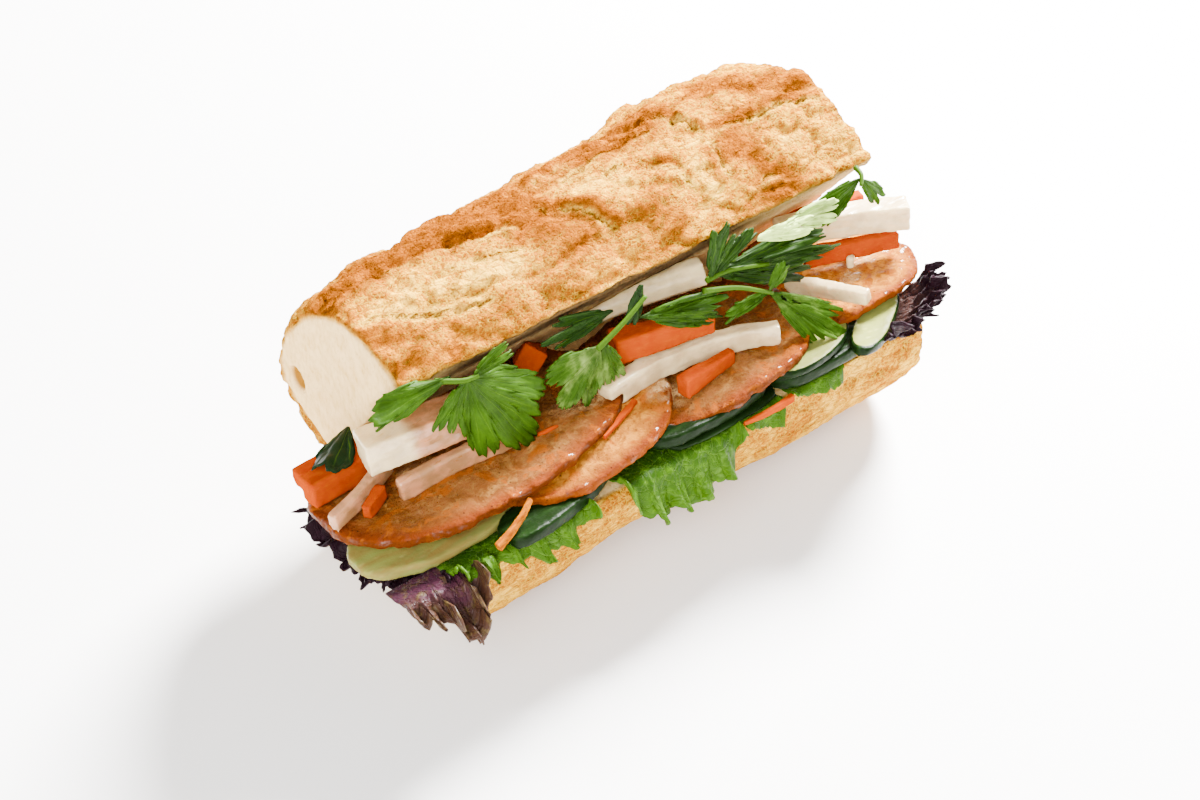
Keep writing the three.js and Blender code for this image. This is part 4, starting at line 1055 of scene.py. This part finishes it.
def cilantro_finish(looks):
    m = Finish("Cilantro")
    pale = m.mark("pale")
    out = m.mark("out")
    vein = 1 - m.mark("veins")
    cloud = m.noise(6, 4, 0.6)
    fine = m.noise(0.9, 4, 0.6)
    ray = m.noise(1.6, 4, 0.6, place=m.stretched((1.0, 0.1, 1.0), m.sheet_place()))
    green = (0.4 * cloud.step(0.35, 0.7) + 0.25 * ray.step(0.4, 0.65) + 0.35 * pale).blend(looks.cilantro, colour("365804"))
    dark = (1 - out).step(0.3, 1.0) * 0.45
    green = dark.blend(green, colour("142806"))
    # Painted shade: a negative pale paints the leaflet a darker blue-green, for the sprigs that lie in the mouth
    # under the upper crust.
    green = (pale * -0.7).step(0.0, 1.0).blend(green, colour("0e2010"))
    line = vein.step(0.9, 1.0) * (1 - out.step(0.6, 1.0))
    green = (0.2 * line).blend(green, colour("5c8410"))
    wash = (pale + 0.5 * (cloud - 0.5)).step(0.6, 1.1)
    base = wash.blend(green, looks.cilantro_pale)
    m.set(Base_Color=base, Roughness=0.34 + 0.3 * fine, Specular_IOR_Level=0.05)
    m.bump(fine * 0.35 + ray * 0.3 - line * 0.3 + cloud * 0.5, 0.35)
    return m.material


class BANHMI_OT_cilantro(bpy.types.Operator):
    """Builds the sprigs of cilantro"""
    bl_idname = "banhmi.cilantro"
    bl_label = "Cilantro"

    def execute(self, context):
        looks = context.scene.banhmi_leaves
        finish = cilantro_finish(looks)
        stem = looks.stem / MM / 2
        for i, (name, sprig) in enumerate(SPRIGS.items()):
            bm = bmesh.new()
            for k, shape in enumerate(sprig["leaflets"]):
                leaflet(bm, shape, looks.thickness / MM, sprig["pale"], 7.0 * i + 2.3 * k + 1)
            if "stem" in sprig:
                route = curve_points([pile(*point) for point in sprig["stem"]], 24)
                tube(bm, route, lambda share: stem * mix(1.05, 0.75, share))
            shown(bm, f"{name}_sprig", finish, [name])
        return {"FINISHED"}


def frill(bm, shape, thickness, pale, seed, fine=1.0):
    """A salad leaf that lies on the lower half and drops over its edge with a ruffled rim."""
    rim, inner, lift = shape["rim"], shape["inner"], shape["lift"]
    ruffle, waves, phase = shape["ruffle"], shape["waves"], shape.get("phase", 0)
    lean, bend = math.radians(shape.get("lean", 80)), 2.6
    start, end = rim[0][0], rim[-1][0]

    def place(u, v):
        x = mix(start, end, u)
        jag = fine * (1.1 * rough((x / 2.6, seed, 0), 1, 3) + 0.7 * rough((x, seed, 5), 1.3, 2)) * v ** 3
        jag += 2.4 * rough((x / 5.5, seed, 3), 1, 2) * v ** 2
        jag -= shape.get("cut", 0) * smooth(0.05, 0.45, rough((x / 3.4, seed, 7), 1, 2)) * v ** 2
        reach = inner + v * (LOWER_CUT + along(rim, x) - inner) + jag
        past = max(0, reach - LOWER_CUT)
        curl = shape.get("curl", 0) * (0.6 + 0.8 * rough((x / 3, seed, 11), 1, 2)) * smooth(0.7, 1, v)
        angle = min(past / bend, lean)
        straight = max(0, past - bend * angle)
        turn = 2 * math.pi * waves * u + phase
        swing = ruffle * (math.sin(turn) + 0.35 * math.sin(2.7 * turn + seed)) * v ** 3
        out = swing + (abs(ruffle) * v ** 3 if past > 0 else 0)
        out += 0.5 * rough((x / 4, v * 3, seed), 1, 3) * v
        s = min(reach, LOWER_CUT) + bend * math.sin(angle) + straight * math.cos(angle)
        h = lift - bend * (1 - math.cos(angle)) - straight * math.sin(angle)
        out += shape.get("crumple", 0) * rough((x / 1.9, v * 5, seed), 1, 3) * v ** 2 + curl
        shift = 0.35 * ruffle * math.cos(turn) * v * v + 0.6 * rough((x / 3, v * 3, seed + 9), 1, 2) * v
        return lower(x + shift, s + out * math.sin(angle), h + out * math.cos(angle))

    columns = max(24, int((end - start) / 0.36))
    made = sheet(bm, columns, 26, place, leaf_marks(end - start, 22, pale))
    thicken(bm, made, thickness)


def end_frill(bm, shape, thickness, pale, seed):
    """A ruffled leaf that overhangs an end of the roll."""
    def power(value):
        return math.copysign(abs(value) ** shape["squareness"], value)

    def place(u, v):
        angle = math.radians(mix(shape["start"], shape["end"], u))
        jag = 1 + (0.05 * rough((u * 40, seed, 0), 1, 2) + 0.035 * rough((u * 90, seed, 4), 1, 2)) * v ** 3
        spike = abs(2 * ((u * 24 + 0.9 * rough((u * 9, seed, 2), 1, 2)) % 1) - 1) ** 3
        share = mix(shape["inner"], 1, v) * (jag + 0.09 * (spike - 0.3) * v ** 4)
        turn = 2 * math.pi * shape["waves"] * u
        x = shape["centre"][0] + shape["reach"][0] * power(math.cos(angle)) * share
        s = shape["centre"][1] + shape["reach"][1] * power(math.sin(angle)) * share
        swing = shape["ruffle"] * (math.sin(turn) + 0.4 * math.sin(2.3 * turn + 1)) * v * v
        swing += shape.get("crumple", 1.0) * (rough((u * 24, v * 3, seed), 1, 3) + rough((u * 9, v * 5, seed), 1, 2)) * v
        shift = 1.1 * math.cos(2.3 * turn) * v ** 2
        h = shape["lift"] + swing - along(shape["sink"], u) * v ** 2
        return lower(x + shift, s + 0.6 * shift, h)

    made = sheet(bm, 280, 24, place, leaf_marks(90, 24, pale))
    thicken(bm, made, thickness)


def salad_finish(name, rim_colour, inner_colour, rib_colour, light_colour, gloss=0.06):
    m = Finish(name)
    out = m.mark("out")
    sheet_place = m.sheet_place()
    cloud = m.noise(6, 4, 0.6)
    fine = m.noise(0.9, 4, 0.6)
    net = 1 - m.cells(5.2, "DISTANCE_TO_EDGE", m.warped(4.0, 2.0, sheet_place)).step(0.0, 0.05)
    mesh = 1 - m.cells(1.7, "DISTANCE_TO_EDGE", sheet_place).step(0.0, 0.09)
    base = (out + 0.9 * (cloud - 0.5)).step(0.2, 0.85).blend(inner_colour, rim_colour)
    base = (0.6 * m.noise(3.0, 4, 0.65).step(0.5, 0.7)).blend(base, light_colour)
    base = (0.24 * net + 0.14 * mesh).blend(base, rib_colour)
    m.set(Base_Color=base, Roughness=0.26 + 0.3 * fine, Specular_IOR_Level=gloss)
    m.bump(cloud * 0.6 + fine * 0.3 - net * 0.5 - mesh * 0.3, 0.5)
    return m.material


class BANHMI_OT_salad(bpy.types.Operator):
    """Builds the green, bronze and red salad leaves"""
    bl_idname = "banhmi.salad"
    bl_label = "Salad leaves"

    def execute(self, context):
        looks = context.scene.banhmi_leaves
        thickness = looks.thickness / MM
        green = salad_finish("Lettuce", looks.lettuce, colour("1c3804"), looks.lettuce_rib, colour("4a7208"))
        red = salad_finish("Red leaf", looks.red, looks.red_inner, colour("2c1c24"), colour("221018"), 0.04)
        bronze = salad_finish("Bronze leaf", looks.bronze, colour("3c1c2a"), colour("24100e"), colour("5c4c28"), 0.12)
        for i, (name, shape) in enumerate(LETTUCES.items()):
            bm = bmesh.new()
            frill(bm, shape, thickness, 0, 4.0 * i + 1)
            shown(bm, f"{name}_leaf", green, [name])
        bm = bmesh.new()
        frill(bm, BRONZE, thickness, 0, 31, 1.6)
        shown(bm, "red_leaf_lobe_leaf", bronze, ["red_leaf_lobe"])
        for i, (name, shape) in enumerate(RED_LEAVES.items()):
            bm = bmesh.new()
            end_frill(bm, shape, thickness, 0, 9.0 * i + 2)
            shown(bm, f"{name}_leaf", red, [name])
        return {"FINISHED"}


# ---------------------------------------------------------------- sauce and bits
# Smears of sauce as (x, s, reach) and small shreds as (x, s, heading, length), on whatever lies there.
SMEARS = [(-4, 69, 8), (-30, 60, 9), (-62, 54, 10), (-86, 48, 7), (14, 69, 6), (92, 56, 7), (82, 62, 5), (34, 62, 6)]
SHREDS = [(-68, 58.5, 11, 13), (-46.3, 63.5, 50, 7)]


def top_tree(names):
    """A search tree over the finished pieces whose names begin with one of the given names."""
    corners, faces = [], []
    for piece in bpy.data.objects:
        if piece.name.startswith(names) and piece.name.endswith(("_meat", "_slice", "_cut")):
            first = len(corners)
            corners += [vert.co / MM for vert in piece.data.vertices]
            faces += [[first + index for index in face.vertices] for face in piece.data.polygons]
    return BVHTree.FromPolygons(corners, faces)


def landed(tree, x, s, lift):
    """The point of the tree under (x, s) on the lower half, raised by lift."""
    up = lower(0, 0, 1) - lower(0, 0, 0)
    hit = tree.ray_cast(lower(x, s, 60), -up)[0]
    return (hit if hit else lower(x, s, 4)) + up * lift


def sauce_finish():
    m = Finish("Sauce")
    cloud = m.noise(3.0, 4, 0.6)
    base = m.noise(1.2, 3, 0.6).step(0.4, 0.62).blend(colour("b4844c"), colour("caa068"))
    m.set(Base_Color=base, Roughness=0.2, Specular_IOR_Level=0.3, Alpha=m.mark("rim").step(0.0, 0.6) * cloud.step(0.36, 0.58) * 0.75, Coat_Weight=0.3, Coat_Roughness=0.08)
    m.bump(cloud, 0.3)
    return m.material


class BANHMI_OT_sauce(bpy.types.Operator):
    """Builds the smears of sauce and the small carrot shreds that lie on the slices"""
    bl_idname = "banhmi.sauce"
    bl_label = "Sauce and shreds"

    def execute(self, context):
        looks = context.scene.banhmi_filling
        tree = top_tree(("ham",))
        bm = bmesh.new()
        for i, (x, s, reach) in enumerate(SMEARS):
            def place(u, v):
                turn = 2 * math.pi * u
                near = Vector((math.cos(turn), math.sin(turn), 0))
                share = v * (1 + 0.4 * rough(near, 1.3, 2, 3.0 * i))
                return landed(tree, x + near.x * reach * share * 1.3, s + near.y * reach * share * 0.8,
                              0.45 * (1 - v ** 4) - 0.15)

            sheet(bm, 40, 12, place, [("rim", lambda u, v: 1 - v)])
        shown(bm, "sauce_smears", sauce_finish(), [])
        bm = bmesh.new()
        for i, (x, s, heading, length) in enumerate(SHREDS):
            turn = math.radians(heading)
            route = []
            for k in range(13):
                out = length * (k / 12 - 0.5)
                bend = 1.4 * math.sin(3 * k / 12 + i)
                route.append(landed(tree, x + out * math.cos(turn) - bend * math.sin(turn),
                                    s + out * math.sin(turn) + bend * math.cos(turn), 0.35))
            tube(bm, route, lambda share: 0.25 + 0.5 * math.sin(math.pi * share) ** 0.5, 8)
        shown(bm, "carrot_shreds", carrot_finish(looks), [])
        return {"FINISHED"}


# ---------------------------------------------------------------- stage
def area_light(name, place, aim, span, power):
    light = bpy.data.lights.new(name, "AREA")
    light.shape = "DISK"
    light.size = span
    light.energy = power
    lamp = bpy.data.objects.new(name, light)
    bpy.context.scene.collection.objects.link(lamp)
    lamp.location = place
    lamp.rotation_euler = (Vector(aim) - Vector(place)).to_track_quat("-Z", "Y").to_euler()


class BANHMI_OT_stage(bpy.types.Operator):
    """Builds the floor, the lights and the camera"""
    bl_idname = "banhmi.stage"
    bl_label = "Stage"

    def execute(self, context):
        looks = context.scene.banhmi_stage
        bm = bmesh.new()
        bmesh.ops.create_grid(bm, x_segments=1, y_segments=1, size=4)
        mesh = bpy.data.meshes.new("floor")
        bm.to_mesh(mesh)
        bm.free()
        m = Finish("Floor")
        m.set(Base_Color=looks.floor, Roughness=0.6)
        mesh.materials.append(m.material)
        floor = bpy.data.objects.new("floor", mesh)
        context.scene.collection.objects.link(floor)
        area_light("key", (1.05, 0.5, 0.95), (0, 0, 0.05), 0.55, looks.key)
        area_light("fill", (-0.9, -0.7, 0.9), (0, 0, 0.05), 1.2, looks.fill)
        world = bpy.data.worlds.new("Surroundings")
        world.use_nodes = True
        ground = next(n for n in world.node_tree.nodes if n.type == "BACKGROUND")
        ground.inputs["Color"].default_value = (1, 1, 1, 1)
        ground.inputs["Strength"].default_value = looks.sky
        context.scene.world = world
        lens = bpy.data.cameras.new("camera")
        lens.lens = looks.lens
        lens.sensor_width = 36
        camera = bpy.data.objects.new("camera", lens)
        context.scene.collection.objects.link(camera)
        camera.matrix_world = (
            Matrix.Translation(Vector(looks.camera))
            @ Matrix.Rotation(looks.heading - math.pi / 2, 4, "Z")
            @ Matrix.Rotation(math.pi / 2 + looks.pitch, 4, "X")
            @ Matrix.Rotation(looks.roll, 4, "Z")
        )
        context.scene.camera = camera
        return {"FINISHED"}


# ---------------------------------------------------------------- panel and start
OPERATORS = (BANHMI_OT_bread, BANHMI_OT_ham, BANHMI_OT_cucumber, BANHMI_OT_batons, BANHMI_OT_salad,
             BANHMI_OT_cilantro, BANHMI_OT_sauce, BANHMI_OT_stage)
GROUPS = {"banhmi_bread": BreadLooks, "banhmi_filling": FillingLooks, "banhmi_leaves": LeafLooks,
          "banhmi_stage": StageLooks}


class BANHMI_PT_panel(bpy.types.Panel):
    """Lists what can be built and its sizes and colours"""
    bl_label = "Banh mi"
    bl_idname = "BANHMI_PT_panel"
    bl_space_type = "VIEW_3D"
    bl_region_type = "UI"
    bl_category = "Banh mi"

    def draw(self, context):
        for operator in OPERATORS:
            self.layout.operator(operator.bl_idname)
        for name, group in GROUPS.items():
            box = self.layout.box()
            for key in group.__annotations__:
                box.prop(getattr(context.scene, name), key)


def register():
    for group in GROUPS.values():
        bpy.utils.register_class(group)
    for name, group in GROUPS.items():
        setattr(bpy.types.Scene, name, bpy.props.PointerProperty(type=group))
    for cls in (*OPERATORS, BANHMI_PT_panel):
        bpy.utils.register_class(cls)


def unregister():
    for cls in reversed((*OPERATORS, BANHMI_PT_panel)):
        bpy.utils.unregister_class(cls)
    for name in GROUPS:
        delattr(bpy.types.Scene, name)
    for group in reversed(list(GROUPS.values())):
        bpy.utils.unregister_class(group)


def main():
    register()
    bpy.ops.banhmi.bread()
    bpy.ops.banhmi.ham()
    bpy.ops.banhmi.cucumber()
    bpy.ops.banhmi.batons()
    bpy.ops.banhmi.salad()
    bpy.ops.banhmi.cilantro()
    bpy.ops.banhmi.sauce()
    bpy.ops.banhmi.stage()


if __name__ == "__main__":
    main()
